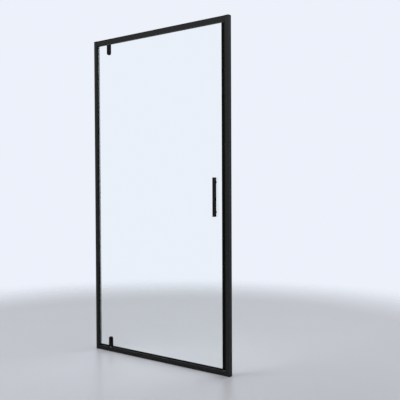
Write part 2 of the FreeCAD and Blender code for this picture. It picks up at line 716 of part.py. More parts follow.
def bush(inward):
    """Flanged nylon bush that turns on the pin."""
    seat = V(PIVOT_X, 0, pivot_end(inward))
    sleeve = rod(seat, V(0, 0, inward), BUSH_D / 2, BUSH_LENGTH)
    flange = rod(seat, V(0, 0, -inward), BUSH_FLANGE_D / 2, BUSH_FLANGE_T)
    whole = join([sleeve, flange])
    bore_start = seat - V(0, 0, inward) * (BUSH_FLANGE_T + 1)
    bore = rod(bore_start, V(0, 0, inward), PIN_D / 2 + RUNNING_CLEARANCE, BUSH_FLANGE_T + BUSH_LENGTH + 2)
    return whole.cut(bore)


def pivot_bushes():
    return Part.makeCompound([bush(TOP), bush(BOTTOM)])


# ---------------------------------------------------------------- seals
def strike_chamber_start():
    return GLASS_RIGHT + SEAL_WALL


def strike_seal():
    """Profile pushed on the glass edge, with a closed chamber for the magnet strip."""
    start = strike_chamber_start()
    end = start + MAGNET_CHAMBER
    half = MAGNET_CHAMBER_DEPTH / 2
    grip = GLASS_FACE + SEAL_WALL
    legs = block(GLASS_RIGHT - STRIKE_LEG, start, -grip, grip, GLASS_BOTTOM, GLASS_TOP)
    legs = legs.cut(block(GLASS_RIGHT - STRIKE_LEG - 1, GLASS_RIGHT, -GLASS_FACE, GLASS_FACE,
                          GLASS_BOTTOM - 1, GLASS_TOP + 1))
    chamber = round_along(block(start, end, -half, half, GLASS_BOTTOM, GLASS_TOP), CHAMBER_WALL, V(0, 0, 1))
    whole = join([legs, chamber])
    hollow = block(start + CHAMBER_WALL, end - CHAMBER_WALL, -half + CHAMBER_WALL, half - CHAMBER_WALL,
                   GLASS_BOTTOM - 1, GLASS_TOP + 1)
    return whole.cut(hollow)


def door_magnet():
    start = strike_chamber_start() + CHAMBER_WALL + MAGNET_CLEARANCE
    end = strike_chamber_start() + MAGNET_CHAMBER - CHAMBER_WALL - MAGNET_CLEARANCE
    half = MAGNET_CHAMBER_DEPTH / 2 - CHAMBER_WALL - MAGNET_CLEARANCE
    return block(start, end, -half, half, GLASS_BOTTOM, GLASS_TOP)


def jamb_foot(low, high):
    """Clip-in foot of a seal, in the hinge jamb's groove: a neck and a cross bar."""
    face = -JAMB_FACE
    neck_half = GROOVE_SLOT / 2 - FOOT_CLEARANCE
    bar_half = GROOVE_WIDTH / 2 - FOOT_CLEARANCE
    bar_x = face - JAMB_WALL - FOOT_NECK
    neck = block(bar_x - FOOT_T / 2, face, -neck_half, neck_half, low, high)
    bar = block(bar_x - FOOT_T, bar_x, -bar_half, bar_half, low, high)
    return [neck, bar]


def seal_span():
    return sill_top(-HALF_DEPTH) + SEAL_END_GAP, TOP_RAIL_UNDERSIDE - SEAL_END_GAP


def hinge_jamb_seal():
    """Hollow bulb that closes the gap between the hinge jamb and the leaf's tail."""
    low, high = seal_span()
    centre = V(-JAMB_FACE, 0, low)
    bulb = rod(centre, V(0, 0, 1), BULB_RADIUS, high - low)
    hollow = rod(centre, V(0, 0, 1), BULB_RADIUS - BULB_WALL, high - low)
    behind = block(-JAMB_FACE - 2 * BULB_RADIUS, -JAMB_FACE, -2 * BULB_RADIUS, 2 * BULB_RADIUS, low, high)
    floor = block(-JAMB_FACE, -JAMB_FACE + BULB_WALL, -BULB_RADIUS, BULB_RADIUS, low, high)
    floor = floor.common(bulb)
    shell = bulb.cut(hollow).cut(behind)
    return join([shell, floor] + jamb_foot(low, high))


def magnet_holder():
    """Profile clipped into the strike jamb, its chamber facing the leaf's magnet strip."""
    low, high = seal_span()
    half = HOLDER_DEPTH / 2
    outer = block(-JAMB_FACE, -JAMB_FACE + HOLDER_REACH, -half, half, low, high)
    outer = round_along(outer, CHAMBER_WALL, V(0, 0, 1))
    whole = join([outer] + jamb_foot(low, high))
    hollow = block(-JAMB_FACE + CHAMBER_WALL, -JAMB_FACE + HOLDER_REACH - CHAMBER_WALL,
                   -half + CHAMBER_WALL, half - CHAMBER_WALL, low - 1, high + 1)
    return mirrored(whole.cut(hollow))


def jamb_magnet():
    low, high = seal_span()
    inset = CHAMBER_WALL + MAGNET_CLEARANCE
    half = HOLDER_DEPTH / 2 - inset
    strip = block(-JAMB_FACE + inset, -JAMB_FACE + HOLDER_REACH - inset, -half, half, low, high)
    return mirrored(strip)


def drip_seal(x0, x1):
    """Profile pushed on the glass's lower edge, with a fin that leans to the inside."""
    grip = GLASS_FACE + SEAL_WALL
    base = GLASS_BOTTOM - DRIP_BASE
    outer = block(x0, x1, -grip, grip, base, GLASS_BOTTOM + DRIP_LEG)
    slot = block(x0 - 1, x1 + 1, -GLASS_FACE, GLASS_FACE, GLASS_BOTTOM, GLASS_BOTTOM + DRIP_LEG + 1)
    root = base + DRIP_BASE / 4
    fin = extrude_outline([
        V(x0, -DRIP_FIN_T / 2, root),
        V(x0, DRIP_FIN_T / 2, root),
        V(x0, DRIP_FIN_T / 2 + DRIP_FIN_LEAN, base - DRIP_FIN),
        V(x0, -DRIP_FIN_T / 2 + DRIP_FIN_LEAN, base - DRIP_FIN),
    ], V(x1 - x0, 0, 0))
    return join([outer.cut(slot), fin])


def drip_seal_short():
    return drip_seal(GLASS_LEFT + DRIP_TAIL_INSET, PIVOT_X - BRACKET_WIDTH / 2 - DRIP_END_GAP)


def drip_seal_long():
    return drip_seal(PIVOT_X + BRACKET_WIDTH / 2 + DRIP_END_GAP, GLASS_RIGHT - STRIKE_LEG - DRIP_END_GAP)


# ---------------------------------------------------------------- handle
def handle_rear():
    return -(GLASS_FACE + GASKET_T)


def handle_bar():
    """Grip bar with a shallow finger groove along each side and two blind tapped holes."""
    rear = handle_rear()
    front = rear - HANDLE_DEPTH
    half = HANDLE_WIDTH / 2
    low = HANDLE_CENTRE - HANDLE_LENGTH / 2
    bar = block(HANDLE_X - half, HANDLE_X + half, front, rear, low, low + HANDLE_LENGTH)
    front_edges = [edge for edge in bar.Edges
                   if edge.Length > HANDLE_LENGTH - 1 and edge.CenterOfMass.y < front + 1e-6]
    bar = bar.makeFillet(HANDLE_CORNER, front_edges)
    cuts = []
    for side in (-1, 1):
        axis_x = HANDLE_X + side * (half + GRIP_RADIUS - GRIP_DEPTH)
        cuts.append(rod(V(axis_x, (front + rear) / 2, low - 1), V(0, 0, 1), GRIP_RADIUS, HANDLE_LENGTH + 2))
    depth = HANDLE_SCREW_LENGTH - (GLASS_T + GASKET_T + WASHER_T) + HANDLE_HOLE_SPARE
    for z in HANDLE_SCREW_Z:
        cuts.append(screw_hole(V(HANDLE_X, rear, z), V(0, -1, 0), HANDLE_SCREW_D, depth))
    return cut_all(bar, cuts)


def handle_gasket():
    half = HANDLE_WIDTH / 2 - HANDLE_GASKET_INSET
    low = HANDLE_CENTRE - HANDLE_LENGTH / 2 + HANDLE_GASKET_INSET
    high = HANDLE_CENTRE + HANDLE_LENGTH / 2 - HANDLE_GASKET_INSET
    strip = block(HANDLE_X - half, HANDLE_X + half, handle_rear(), -GLASS_FACE, low, high)
    holes = [screw_hole(V(HANDLE_X, -GLASS_FACE + 1, z), V(0, -1, 0), HANDLE_SCREW_D, GASKET_T + 2)
             for z in HANDLE_SCREW_Z]
    return cut_all(strip, holes)


def handle_washers():
    """Plastic washers between the screw heads and the glass."""
    washers = []
    for z in HANDLE_SCREW_Z:
        disc = rod(V(HANDLE_X, GLASS_FACE, z), V(0, 1, 0), WASHER_D / 2, WASHER_T)
        hole = screw_hole(V(HANDLE_X, GLASS_FACE + WASHER_T + 1, z), V(0, -1, 0), HANDLE_SCREW_D, WASHER_T + 2)
        washers.append(disc.cut(hole))
    return Part.makeCompound(washers)


def handle_screws():
    """Screws with hexagon sockets, driven from the shower side."""
    screws = []
    for z in HANDLE_SCREW_Z:
        seat = V(HANDLE_X, GLASS_FACE + WASHER_T, z)
        screw = pan_screw(seat, V(0, -1, 0), HANDLE_SCREW_D, HANDLE_SCREW_LENGTH,
                          HANDLE_HEAD_D, HANDLE_HEAD_H)
        screws.append(screw.cut(hex_socket(seat + V(0, HANDLE_HEAD_H, 0), V(0, -1, 0))))
    return Part.makeCompound(screws)


# ---------------------------------------------------------------- build
save(wall_profile(), "wall_profile_hinge")
save(mirrored(wall_profile()), "wall_profile_strike")
save(jamb(), "jamb_hinge")
save(mirrored(jamb()), "jamb_strike")
save(end_cap(), "end_cap_hinge")
save(mirrored(end_cap()), "end_cap_strike")
save(top_rail(), "top_rail")
save(sill_rail(), "sill_rail")
save(corner_screws(), "corner_screws")
save(locking_screws(), "locking_screws")
save(pivot_blocks(), "pivot_blocks")
save(block_screws(), "block_screws")
save(pivot_pins(), "pivot_pins")
save(pivot_washers(), "pivot_washers")
save(hinge_jamb_seal(), "hinge_jamb_seal")
save(magnet_holder(), "magnet_holder")
save(jamb_magnet(), "jamb_magnet")

save(glass_panel(), "glass_panel")
save(Part.makeCompound([bracket_front(TOP), bracket_front(BOTTOM)]), "bracket_fronts")
save(Part.makeCompound([bracket_back(TOP), bracket_back(BOTTOM)]), "bracket_backs")
save(bracket_gaskets(), "bracket_gaskets")
save(bracket_screws(), "bracket_screws")
save(pivot_bushes(), "pivot_bushes")
save(strike_seal(), "strike_seal")
save(door_magnet(), "door_magnet")
save(drip_seal_long(), "drip_seal_long")
save(drip_seal_short(), "drip_seal_short")
save(handle_bar(), "handle_bar")
save(handle_gasket(), "handle_gasket")
save(handle_screws(), "handle_screws")
save(handle_washers(), "handle_washers")
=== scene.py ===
# %% [markdown]
# # A pivot shower door
# The door is a slim black frame and one clear glass leaf, which turns on two pins near its left edge
# and opens outwards. Its CAD model gives every size and every place, in metres. X runs to the right
# as seen from outside, Y runs inwards and Z runs up.
#
# Each cell below makes one thing, a piece or a finish, and prints what it made. The long profiles
# keep their CAD shape and only get a finish. Most other pieces are made again with more detail than
# the CAD model carries: thin lips, broken edges, smooth curves, and screws with drives in them.

# %% Load the frame
import json
import math

import bmesh
import bpy
from mathutils import Matrix, Vector

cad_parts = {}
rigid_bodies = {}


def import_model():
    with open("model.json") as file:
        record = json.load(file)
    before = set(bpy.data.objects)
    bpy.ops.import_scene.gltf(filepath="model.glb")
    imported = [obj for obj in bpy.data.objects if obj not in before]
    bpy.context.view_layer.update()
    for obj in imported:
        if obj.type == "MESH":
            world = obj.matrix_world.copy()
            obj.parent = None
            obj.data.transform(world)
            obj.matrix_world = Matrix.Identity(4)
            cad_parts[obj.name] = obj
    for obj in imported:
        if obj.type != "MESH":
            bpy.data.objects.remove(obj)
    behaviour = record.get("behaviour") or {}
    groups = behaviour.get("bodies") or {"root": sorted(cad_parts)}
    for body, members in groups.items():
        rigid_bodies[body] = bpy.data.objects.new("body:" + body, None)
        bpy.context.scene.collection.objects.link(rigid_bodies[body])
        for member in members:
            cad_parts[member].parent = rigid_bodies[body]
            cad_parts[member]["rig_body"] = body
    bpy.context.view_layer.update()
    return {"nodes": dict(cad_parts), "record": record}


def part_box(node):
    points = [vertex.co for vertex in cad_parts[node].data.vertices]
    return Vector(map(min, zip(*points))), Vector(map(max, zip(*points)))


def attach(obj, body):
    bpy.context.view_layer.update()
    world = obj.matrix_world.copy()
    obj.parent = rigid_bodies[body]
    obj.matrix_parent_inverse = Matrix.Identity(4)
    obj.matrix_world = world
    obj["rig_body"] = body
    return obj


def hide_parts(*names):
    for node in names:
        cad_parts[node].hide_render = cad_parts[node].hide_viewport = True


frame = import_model()
MM = 0.001
SMOOTH_BELOW = math.radians(32)
scene = bpy.context.scene

# %% [markdown]
# ## Camera
# The camera stands to the right of the door, about 3.5 m away, at half the door's height and nearly
# level. It could be placed by eye, but here its place, turn and lens were worked out from the four
# corners of the frame, whose real size is known. The angles are in degrees: tilt is the angle above
# the horizon, and roll turns the picture.

# %% Camera
CAMERA_PLACE = (2.3078, -2.6853, 1.0018)
CAMERA_TURN, CAMERA_TILT, CAMERA_ROLL = 36.765, -1.201, -0.247
CAMERA_LENS = 55.44
FARTHEST_SEEN = 60


def put(name, data):
    """A new object in the scene."""
    thing = bpy.data.objects.new(name, data)
    scene.collection.objects.link(thing)
    return thing


def make_camera():
    data = bpy.data.cameras.new("camera")
    data.lens = CAMERA_LENS
    data.clip_end = FARTHEST_SEEN
    camera = put("camera", data)
    turn = Matrix.Rotation(math.radians(CAMERA_TURN), 4, "Z")
    tilt = Matrix.Rotation(math.radians(90 + CAMERA_TILT), 4, "X")
    roll = Matrix.Rotation(math.radians(CAMERA_ROLL), 4, "Z")
    camera.matrix_world = Matrix.Translation(CAMERA_PLACE) @ turn @ tilt @ roll
    scene.camera = camera


make_camera()
print("camera: lens", CAMERA_LENS, "mm,", round(Vector(CAMERA_PLACE).length, 2), "m from the sill")

# %% [markdown]
# ## Helpers for node trees
# A finish in Blender is a tree of nodes, and so are the sky and a Geometry Nodes group. Wiring one
# by hand takes many lines, so three small classes do it. `Tree` makes a node of any type from its
# settings and from what goes into its sockets. `Value` stands for one output of a node and knows
# plus, times and greater than, so that `0.4 + 0.1 * cloud` adds the Math nodes that it needs.
# `Finish` is the tree of one material, with short words for what finishes use most.

# %% Node trees
class Value:
    """One output of a node."""

    def __init__(self, tree, socket):
        self.tree = tree
        self.socket = socket

    def maths(self, operation, other):
        return self.tree.node("ShaderNodeMath", {"operation": operation}, {0: self, 1: other})

    def __add__(self, other):
        return self.maths("ADD", other)

    def __mul__(self, other):
        return self.maths("MULTIPLY", other)

    def __gt__(self, other):
        return self.maths("GREATER_THAN", other)

    __radd__ = __add__
    __rmul__ = __mul__


class Tree:
    """A tree that is built node by node."""

    def __init__(self, tree):
        self.tree = tree
        self.tree.nodes.clear()

    def node(self, kind, settings=None, inputs=None, output=0):
        """A node of any kind. Settings come first, then the values or links of its sockets."""
        node = self.tree.nodes.new(kind)
        for name, value in (settings or {}).items():
            setattr(node, name, value)
        for key, value in (inputs or {}).items():
            if isinstance(value, Value):
                self.tree.links.new(value.socket, node.inputs[key])
            else:
                node.inputs[key].default_value = value
        return Value(self, node.outputs[output]) if len(node.outputs) else None


class Finish(Tree):
    """The tree of one material."""

    def __init__(self, name):
        self.material = bpy.data.materials.new(name)
        self.material.use_nodes = True
        super().__init__(self.material.node_tree)
        self.place = self.node("ShaderNodeTexCoord", output="Object")

    def noise(self, size, detail=2.0, stretch=(1, 1, 1)):
        """Noise whose lumps are about size metres across, drawn out by stretch along X, Y and Z."""
        scale = [1 / part for part in stretch]
        stretched = self.node("ShaderNodeMapping", {}, {"Vector": self.place, "Scale": scale})
        inputs = {"Vector": stretched, "Scale": 1 / size, "Detail": detail}
        return self.node("ShaderNodeTexNoise", {}, inputs)

    def mix(self, share, first, second):
        """A colour between first and second."""
        inputs = {0: share, 6: first, 7: second}
        return self.node("ShaderNodeMix", {"data_type": "RGBA"}, inputs, output=2)

    def bump(self, height, depth, below=None):
        """A surface that rises and falls by up to depth metres."""
        inputs = {"Height": height, "Distance": depth, "Strength": 1.0}
        if below is not None:
            inputs["Normal"] = below
        return self.node("ShaderNodeBump", {}, inputs)

    def surface(self, inputs):
        return self.node("ShaderNodeBsdfPrincipled", {}, inputs)

    def done(self, shader):
        self.node("ShaderNodeOutputMaterial", {}, {"Surface": shader})
        print("finish:", self.material.name)
        return self.material


def grey(level, warmth=0.0):
    """A grey of that level, in linear light, a little warmer or cooler."""
    return (level * (1 + warmth), level, level * (1 - warmth), 1.0)


print("trees: ready, a grey of 0.5 is", grey(0.5))


# %% [markdown]
# ## Black powder coat
# The profiles are extruded aluminium under a matt black powder coat. The powder melts into a skin
# that is never quite flat: it has low waves a few millimetres long, like the peel of an orange, and
# a fine sand on top of them. It could be one dark grey, but then a long bar would shine the same
# from end to end, as in a drawing. Here two noises make the relief, and a third, half a metre long,
# lets tone and gloss drift a little along the bar. The shine itself is low, because a matt coat
# scatters most of what it reflects. Wall profiles, frame, brackets and handle all wear this coat,
# but each gets its own level: the wall profiles' copy is lighter, which is painted light, the
# brackets' copy is much darker, which is painted shade, and the handle's copy is darker.

# %% Finish: powder coat
PEEL_SIZE, PEEL_DEPTH = 2.2 * MM, 0.060 * MM
SAND_SIZE, SAND_DEPTH = 0.5 * MM, 0.030 * MM
DRIFT_SIZE, TONE_DRIFT, GLOSS_DRIFT = 0.45, 0.25, 0.08
SAND_DULLS = 0.12
WARMTH = 0.02


def powder_coat(name, level, gloss, shine):
    coat = Finish(name)
    cloud = coat.noise(DRIFT_SIZE, detail=3)
    peel = coat.noise(PEEL_SIZE, detail=1)
    sand = coat.noise(SAND_SIZE, detail=2)
    waves = coat.bump(peel, PEEL_DEPTH)
    darkest, lightest = grey(level * (1 - TONE_DRIFT), WARMTH), grey(level * (1 + TONE_DRIFT), WARMTH)
    return coat.done(coat.surface({
        "Base Color": coat.mix(cloud, darkest, lightest),
        "Roughness": (gloss - (GLOSS_DRIFT + SAND_DULLS) / 2) + GLOSS_DRIFT * cloud + SAND_DULLS * sand,
        "Specular IOR Level": shine,
        "Normal": coat.bump(sand, SAND_DEPTH, waves),
    }))


profile_coat = powder_coat("profile_powder_coat", level=0.0120, gloss=0.50, shine=0.12)
# A lighter copy of the frame's coat: its higher level is painted light.
wall_coat_painted_light = powder_coat("coat_of_wall_profiles_painted_light", level=0.0150, gloss=0.52, shine=0.14)
# A much darker copy of the same coat: its low level is painted shade.
bracket_finish_painted_shade = powder_coat("coat_of_brackets_painted_shade", level=0.0028, gloss=0.42, shine=0.07)
handle_coat = powder_coat("handle_powder_coat", level=0.0054, gloss=0.44, shine=0.10)

# %% [markdown]
# ## Seals and caps
# Seals are soft black plastic pushed through a die, so fine lines run along them. The lines are
# noise that is drawn out along the seal's length. The end caps are moulded in a steel tool whose
# surface was eroded by sparks, which leaves an even, dull grain with no direction.

# %% Finish: extruded rubber and moulded plastic
LINE_SIZE, LINE_DEPTH, LINE_STRETCH = 0.35 * MM, 0.010 * MM, 400
DUST_SIZE = 0.06
LINES_DULL, DUST_DULLS = 0.06, 0.16
# Black rubber darkened further: partly its own colour, partly painted shade of the recesses where the
# seals sit.
RUBBER_AND_PAINTED_SHADE_TONES, RUBBER_SHINE = (0.0010, 0.0026), 0.045
SPARK_SIZE, SPARK_DEPTH, SPARK_DULLS = 0.7 * MM, 0.015 * MM, 0.12
FLOW_MARK_SIZE = 0.02
CAP_TONES, CAP_SHINE = (0.0055, 0.0085), 0.15
SOFT_GLOSS = 0.50


def extruded_rubber(name, stretch):
    rubber = Finish(name)
    lines = rubber.noise(LINE_SIZE, detail=1, stretch=stretch)
    dust = rubber.noise(DUST_SIZE, detail=4)
    return rubber.done(rubber.surface({
        "Base Color": rubber.mix(dust, *map(grey, RUBBER_AND_PAINTED_SHADE_TONES)),
        "Roughness": SOFT_GLOSS + DUST_DULLS * dust + LINES_DULL * lines,
        "Specular IOR Level": RUBBER_SHINE,
        "Normal": rubber.bump(lines, LINE_DEPTH),
    }))


def moulded_plastic(name):
    plastic = Finish(name)
    grain = plastic.noise(SPARK_SIZE, detail=2)
    flow_marks = plastic.noise(FLOW_MARK_SIZE, detail=2)
    return plastic.done(plastic.surface({
        "Base Color": plastic.mix(flow_marks, *map(grey, CAP_TONES)),
        "Roughness": SOFT_GLOSS + SPARK_DULLS * grain,
        "Specular IOR Level": CAP_SHINE,
        "Normal": plastic.bump(grain, SPARK_DEPTH),
    }))


upright_rubber = extruded_rubber("upright_seal_rubber", (1, 1, LINE_STRETCH))
level_rubber = extruded_rubber("level_seal_rubber", (LINE_STRETCH, 1, 1))
sheet_rubber = extruded_rubber("sheet_rubber", (1, 1, 1))
cap_plastic = moulded_plastic("cap_plastic")

# %% [markdown]
# ## Metals, nylon and magnets
# The small working parts are bare. Turned steel has rings round its axis, a zinc coat is a pale grey
# whose gloss is blotched, black oxide is a thin dark skin on steel, and a casting is dull and
# pebbled. One function makes all four metals, because they differ only in tone, gloss and in the
# size of the grain. The bush is a milky nylon, and the magnet strip is a brown-black, chalky
# plastic full of magnetic powder.

# %% Finish: metals, nylon and magnet strip
BLOTCH_SIZE, BLOTCH_DULLS = 4 * MM, 0.14
GRAIN_DULLS = 0.10


def metal(name, dark, light, smoothest, grain_size, grain_depth, stretch=(1, 1, 1)):
    bare = Finish(name)
    grain = bare.noise(grain_size, detail=2, stretch=stretch)
    blotch = bare.noise(BLOTCH_SIZE, detail=3)
    return bare.done(bare.surface({
        "Base Color": bare.mix(blotch, dark, light),
        "Metallic": 1.0,
        "Roughness": smoothest + BLOTCH_DULLS * blotch,
        "Normal": bare.bump(grain, grain_depth),
    }))


def dull_solid(name, dark, light, smoothest, grain_size, grain_depth):
    body = Finish(name)
    grain = body.noise(grain_size, detail=3)
    return body.done(body.surface({
        "Base Color": body.mix(grain, dark, light),
        "Roughness": smoothest + GRAIN_DULLS * grain,
        "Normal": body.bump(grain, grain_depth),
    }))


ROUND_THE_AXIS = (40, 40, 1)
turned_steel = metal("turned_steel", grey(0.50), grey(0.62), smoothest=0.22,
                     grain_size=0.15 * MM, grain_depth=0.004 * MM, stretch=ROUND_THE_AXIS)
zinc_plate = metal("zinc_plate", (0.50, 0.51, 0.54, 1), (0.66, 0.66, 0.65, 1), smoothest=0.24,
                   grain_size=0.6 * MM, grain_depth=0.003 * MM)
black_oxide = metal("black_oxide", grey(0.020), grey(0.045), smoothest=0.30,
                    grain_size=0.5 * MM, grain_depth=0.004 * MM)
casting = metal("bare_casting", grey(0.36), grey(0.48), smoothest=0.42,
                grain_size=0.9 * MM, grain_depth=0.030 * MM)
nylon = dull_solid("milky_nylon", (0.74, 0.73, 0.68, 1), (0.82, 0.81, 0.77, 1), smoothest=0.38,
                   grain_size=3 * MM, grain_depth=0.006 * MM)
magnet = dull_solid("magnet_plastic", (0.035, 0.031, 0.028, 1), (0.060, 0.054, 0.050, 1), smoothest=0.66,
                    grain_size=1.2 * MM, grain_depth=0.02 * MM)

# %% [markdown]
# ## Glass
# The leaf is 6 mm of clear toughened glass. Two things show that it is there: it mirrors a little of
# what is round it, more at a slant, and its ground edge is green, because light runs a long way
# inside the sheet before it leaves there. The face is real glass with its own thickness, so it bends
# and mirrors light by itself. Glass like that would stop the lamps and cast a black shadow, so rays
# that look for a lamp go straight through it. Toughening leaves a faint roller wave, 0.3 m long, and
# hands leave smears, where the face is a trace duller.
# The edge is a second finish, because it is only ground and never as clear as the face: a little
# under half of the light gets through it, blurred, and the rest is scattered and comes out green.

# %% Finish: glass
GLASS_TINT = (0.975, 0.992, 0.985, 1.0)
GLASS_IOR = 1.52
ROLLER_WAVE, WAVE_DEPTH = 0.30, 0.02 * MM
SMEAR_SIZE, SMEARS_ABOVE, SMEAR_DULLS = 0.12, 0.62, 0.02
EDGE_DARK, EDGE_LIGHT = (0.10, 0.30, 0.23, 1), (0.16, 0.40, 0.31, 1)
EDGE_LETS_THROUGH, EDGE_GLOSS = 0.45, 0.12
GREEN_SIZE = 0.05
GRINDING_SIZE, GRINDING_DEPTH, GRINDING_DULLS = 0.4 * MM, 0.001 * MM, 0.10


def clear_glass():
    glass = Finish("toughened_glass")
    wave = glass.noise(ROLLER_WAVE, detail=0, stretch=(3, 3, 1))
    smears = glass.noise(SMEAR_SIZE, detail=4)
    sheet = glass.surface({
        "Base Color": GLASS_TINT,
        "Roughness": SMEAR_DULLS * (smears > SMEARS_ABOVE),
        "IOR": GLASS_IOR,
        "Transmission Weight": 1.0,
        "Normal": glass.bump(wave, WAVE_DEPTH),
    })
    open_way = glass.node("ShaderNodeBsdfTransparent", {}, {"Color": GLASS_TINT})
    to_a_lamp = glass.node("ShaderNodeLightPath", output="Is Shadow Ray")
    return glass.done(glass.node("ShaderNodeMixShader", {}, {0: to_a_lamp, 1: sheet, 2: open_way}))


def ground_edge():
    edge = Finish("glass_edge")
    green = edge.noise(GREEN_SIZE, detail=3, stretch=(1, 0.2, 1))
    grinding = edge.noise(GRINDING_SIZE, detail=2)
    return edge.done(edge.surface({
        "Base Color": edge.mix(green, EDGE_DARK, EDGE_LIGHT),
        "Roughness": EDGE_GLOSS + GRINDING_DULLS * grinding,
        "IOR": GLASS_IOR,
        "Transmission Weight": EDGE_LETS_THROUGH,
        "Normal": edge.bump(grinding, GRINDING_DEPTH),
    }))


glass_face = clear_glass()
glass_edge = ground_edge()

# %% [markdown]
# ## Finishes on the CAD pieces
# The record gives each CAD piece a slot, which names the stuff that it is made of, so one table from
# slots to finishes dresses them all. Some finishes follow the piece and not the slot: the wall
# profiles get a lighter copy of the coat, which is painted light, and the handle a darker copy; the
# two magnet profiles are as soft, dull and dark as the other upright seals, whose darkness is partly
# painted shade; the drip seals' lines run along X, and gaskets are plain sheet.

# %% Dress the CAD pieces
FINISH_OF_SLOT = {
    "coated_profile": profile_coat, "coated_bracket": bracket_finish_painted_shade, "clear_glass": glass_face,
    "black_plastic": cap_plastic, "black_rubber": upright_rubber, "magnet_strip": magnet,
    "cast_block": casting, "steel_pin": turned_steel, "white_bush": nylon,
    "zinc_screw": zinc_plate, "black_screw": black_oxide,
}
FINISH_OF_NODE = {
    "wall_profile_hinge": wall_coat_painted_light, "wall_profile_strike": wall_coat_painted_light,
    "magnet_holder": upright_rubber, "strike_seal": upright_rubber,
    "drip_seal_long": level_rubber, "drip_seal_short": level_rubber,
    "bracket_gaskets": sheet_rubber, "handle_gasket": sheet_rubber,
    "handle_bar": handle_coat,
}
slot_of_node = {part["node"]: part["material_slot"] for part in frame["record"]["subparts"]}


def finish_of(node):
    return FINISH_OF_NODE.get(node, FINISH_OF_SLOT[slot_of_node[node]])


for node, thing in frame["nodes"].items():
    thing.data.materials.clear()
    thing.data.materials.append(finish_of(node))
print("dressed:", len(frame["nodes"]), "pieces from", len(set(slot_of_node.values())), "slots")


# %% [markdown]
# ## Helpers for shapes
# Seals, plates, the handle and the glass are each a flat outline, some with holes, that is drawn out
# straight. Screws, bushes and washers are turned, so each is a stack of circles. They could be
# curves with a depth or a Screw modifier, but a mesh gives more say over the edges. So there are two
# makers, `drawn_out` and `stacked`, and both merge their doubles and make the normals point
# outwards. `carved` joins and cuts finished shapes with booleans.

# %% Outlines drawn out
CURVE_STEPS = 12
MERGE_WITHIN = 1e-7
SAME_HEIGHT = 1e-6
FULL_BEVEL = 0.6


def arc(x, y, radius, start, end, steps=CURVE_STEPS):
    """Points on an arc round x, y from one angle to another, in degrees, both ends included."""
    angles = [math.radians(start + (end - start) * i / steps) for i in range(steps + 1)]
    return [(x + radius * math.cos(a), y + radius * math.sin(a)) for a in angles]


def circle(radius, x=0.0, y=0.0, sides=4 * CURVE_STEPS):
    return arc(x, y, radius, 0, 360, sides)[:-1]


def both_halves(upper):
    """An outline that is the same below Y = 0 as above it."""
    return upper + [(x, -y) for x, y in reversed(upper)]


def closed_mesh(form, place):
    """The form as a mesh in metres, each point where place puts it, normals outwards."""
    for vert in form.verts:
        vert.co = Vector(place(*vert.co)) * MM
    bmesh.ops.remove_doubles(form, verts=form.verts, dist=MERGE_WITHIN)
    bmesh.ops.recalc_face_normals(form, faces=form.faces)
    mesh = bpy.data.meshes.new("shape")
    form.to_mesh(mesh)
    form.free()
    return mesh


def drawn_out(loops, low, high, place, broken_edge=0.0, rings=2, rims=None):
    """Mesh of an outline with holes, in millimetres, drawn out from low to high.

    place turns two numbers of the outline and one along the draw into a point. broken_edge takes
    that much off the sharp edges at the ends that rims lists, or at both.
    """
    form = bmesh.new()
    edges = []
    for loop in loops:
        corners = [form.verts.new((u, v, low)) for u, v in loop]
        edges += [form.edges.new((corners[i - 1], corners[i])) for i in range(len(corners))]
    filled = bmesh.ops.triangle_fill(form, use_beauty=True, edges=edges)
    faces = [item for item in filled["geom"] if isinstance(item, bmesh.types.BMFace)]
    moved = bmesh.ops.extrude_face_region(form, geom=faces)
    for item in moved["geom"]:
        if isinstance(item, bmesh.types.BMVert):
            item.co.z = high
    if broken_edge:
        ends = rims or (low, high)
        sharp = [edge for edge in form.edges
                 if len(edge.link_faces) == 2 and edge.calc_face_angle() > SMOOTH_BELOW
                 and any(all(abs(vert.co.z - end) < SAME_HEIGHT for vert in edge.verts) for end in ends)]
        bmesh.ops.bevel(form, geom=sharp, offset=broken_edge, segments=rings, profile=FULL_BEVEL,
                        affect="EDGES", clamp_overlap=True)
    return closed_mesh(form, place)


def upright(u, v, along):
    return (u, v, along)


def crosswise(u, v, along):
    return (along, u, v)


def facing_out(u, v, along):
    return (u, along, v)


print("drawn_out: ready, circles have", len(circle(1)), "sides")

# %% Turned and carved shapes
def stacked(rings, place, loop=False):
    """Mesh through (outline, height) pairs, closed at both ends, or joined into a ring by loop."""
    form = bmesh.new()
    layers = [[form.verts.new((u, v, height)) for u, v in outline] for outline, height in rings]
    steps = list(zip(layers, layers[1:]))
    if loop:
        steps.append((layers[-1], layers[0]))
    for near, far in steps:
        count = max(len(near), len(far))
        for i in range(count):
            j = (i + 1) % count
            corners = [near[i % len(near)], near[j % len(near)], far[j % len(far)], far[i % len(far)]]
            form.faces.new(list(dict.fromkeys(corners)))
    for end in (layers[0], layers[-1]):
        if len(end) > 2 and not loop:
            form.faces.new(end)
    return closed_mesh(form, place)


def turned(profile, place=upright, loop=False):
    """Solid of revolution from (radius, height) pairs. A radius of 0 is a point on the axis."""
    return stacked([(circle(radius) if radius else [(0.0, 0.0)], height) for radius, height in profile],
                   place, loop)


def evaluated(thing):
    """The object's mesh with its modifiers carried out."""
    return bpy.data.meshes.new_from_object(thing.evaluated_get(bpy.context.evaluated_depsgraph_get()))


def carved(mesh, joined=(), cut=()):
    """Join some meshes to a mesh and cut others out of it."""
    whole = put("whole", mesh)
    tools = []
    for operation, shapes in (("UNION", joined), ("DIFFERENCE", cut)):
        for shape in shapes:
            tools.append(put("tool", shape))
            step = whole.modifiers.new("step", "BOOLEAN")
            step.operation = operation
            step.object = tools[-1]
            step.solver = "EXACT"
    result = evaluated(whole)
    for thing in [whole] + tools:
        bpy.data.objects.remove(thing)
    return result


def together(meshes):
    """Several meshes as one."""
    form = bmesh.new()
    for mesh in meshes:
        form.from_mesh(mesh)
    return closed_mesh(form, lambda x, y, z: (x / MM, y / MM, z / MM))


print("stacked, turned and carved: ready")
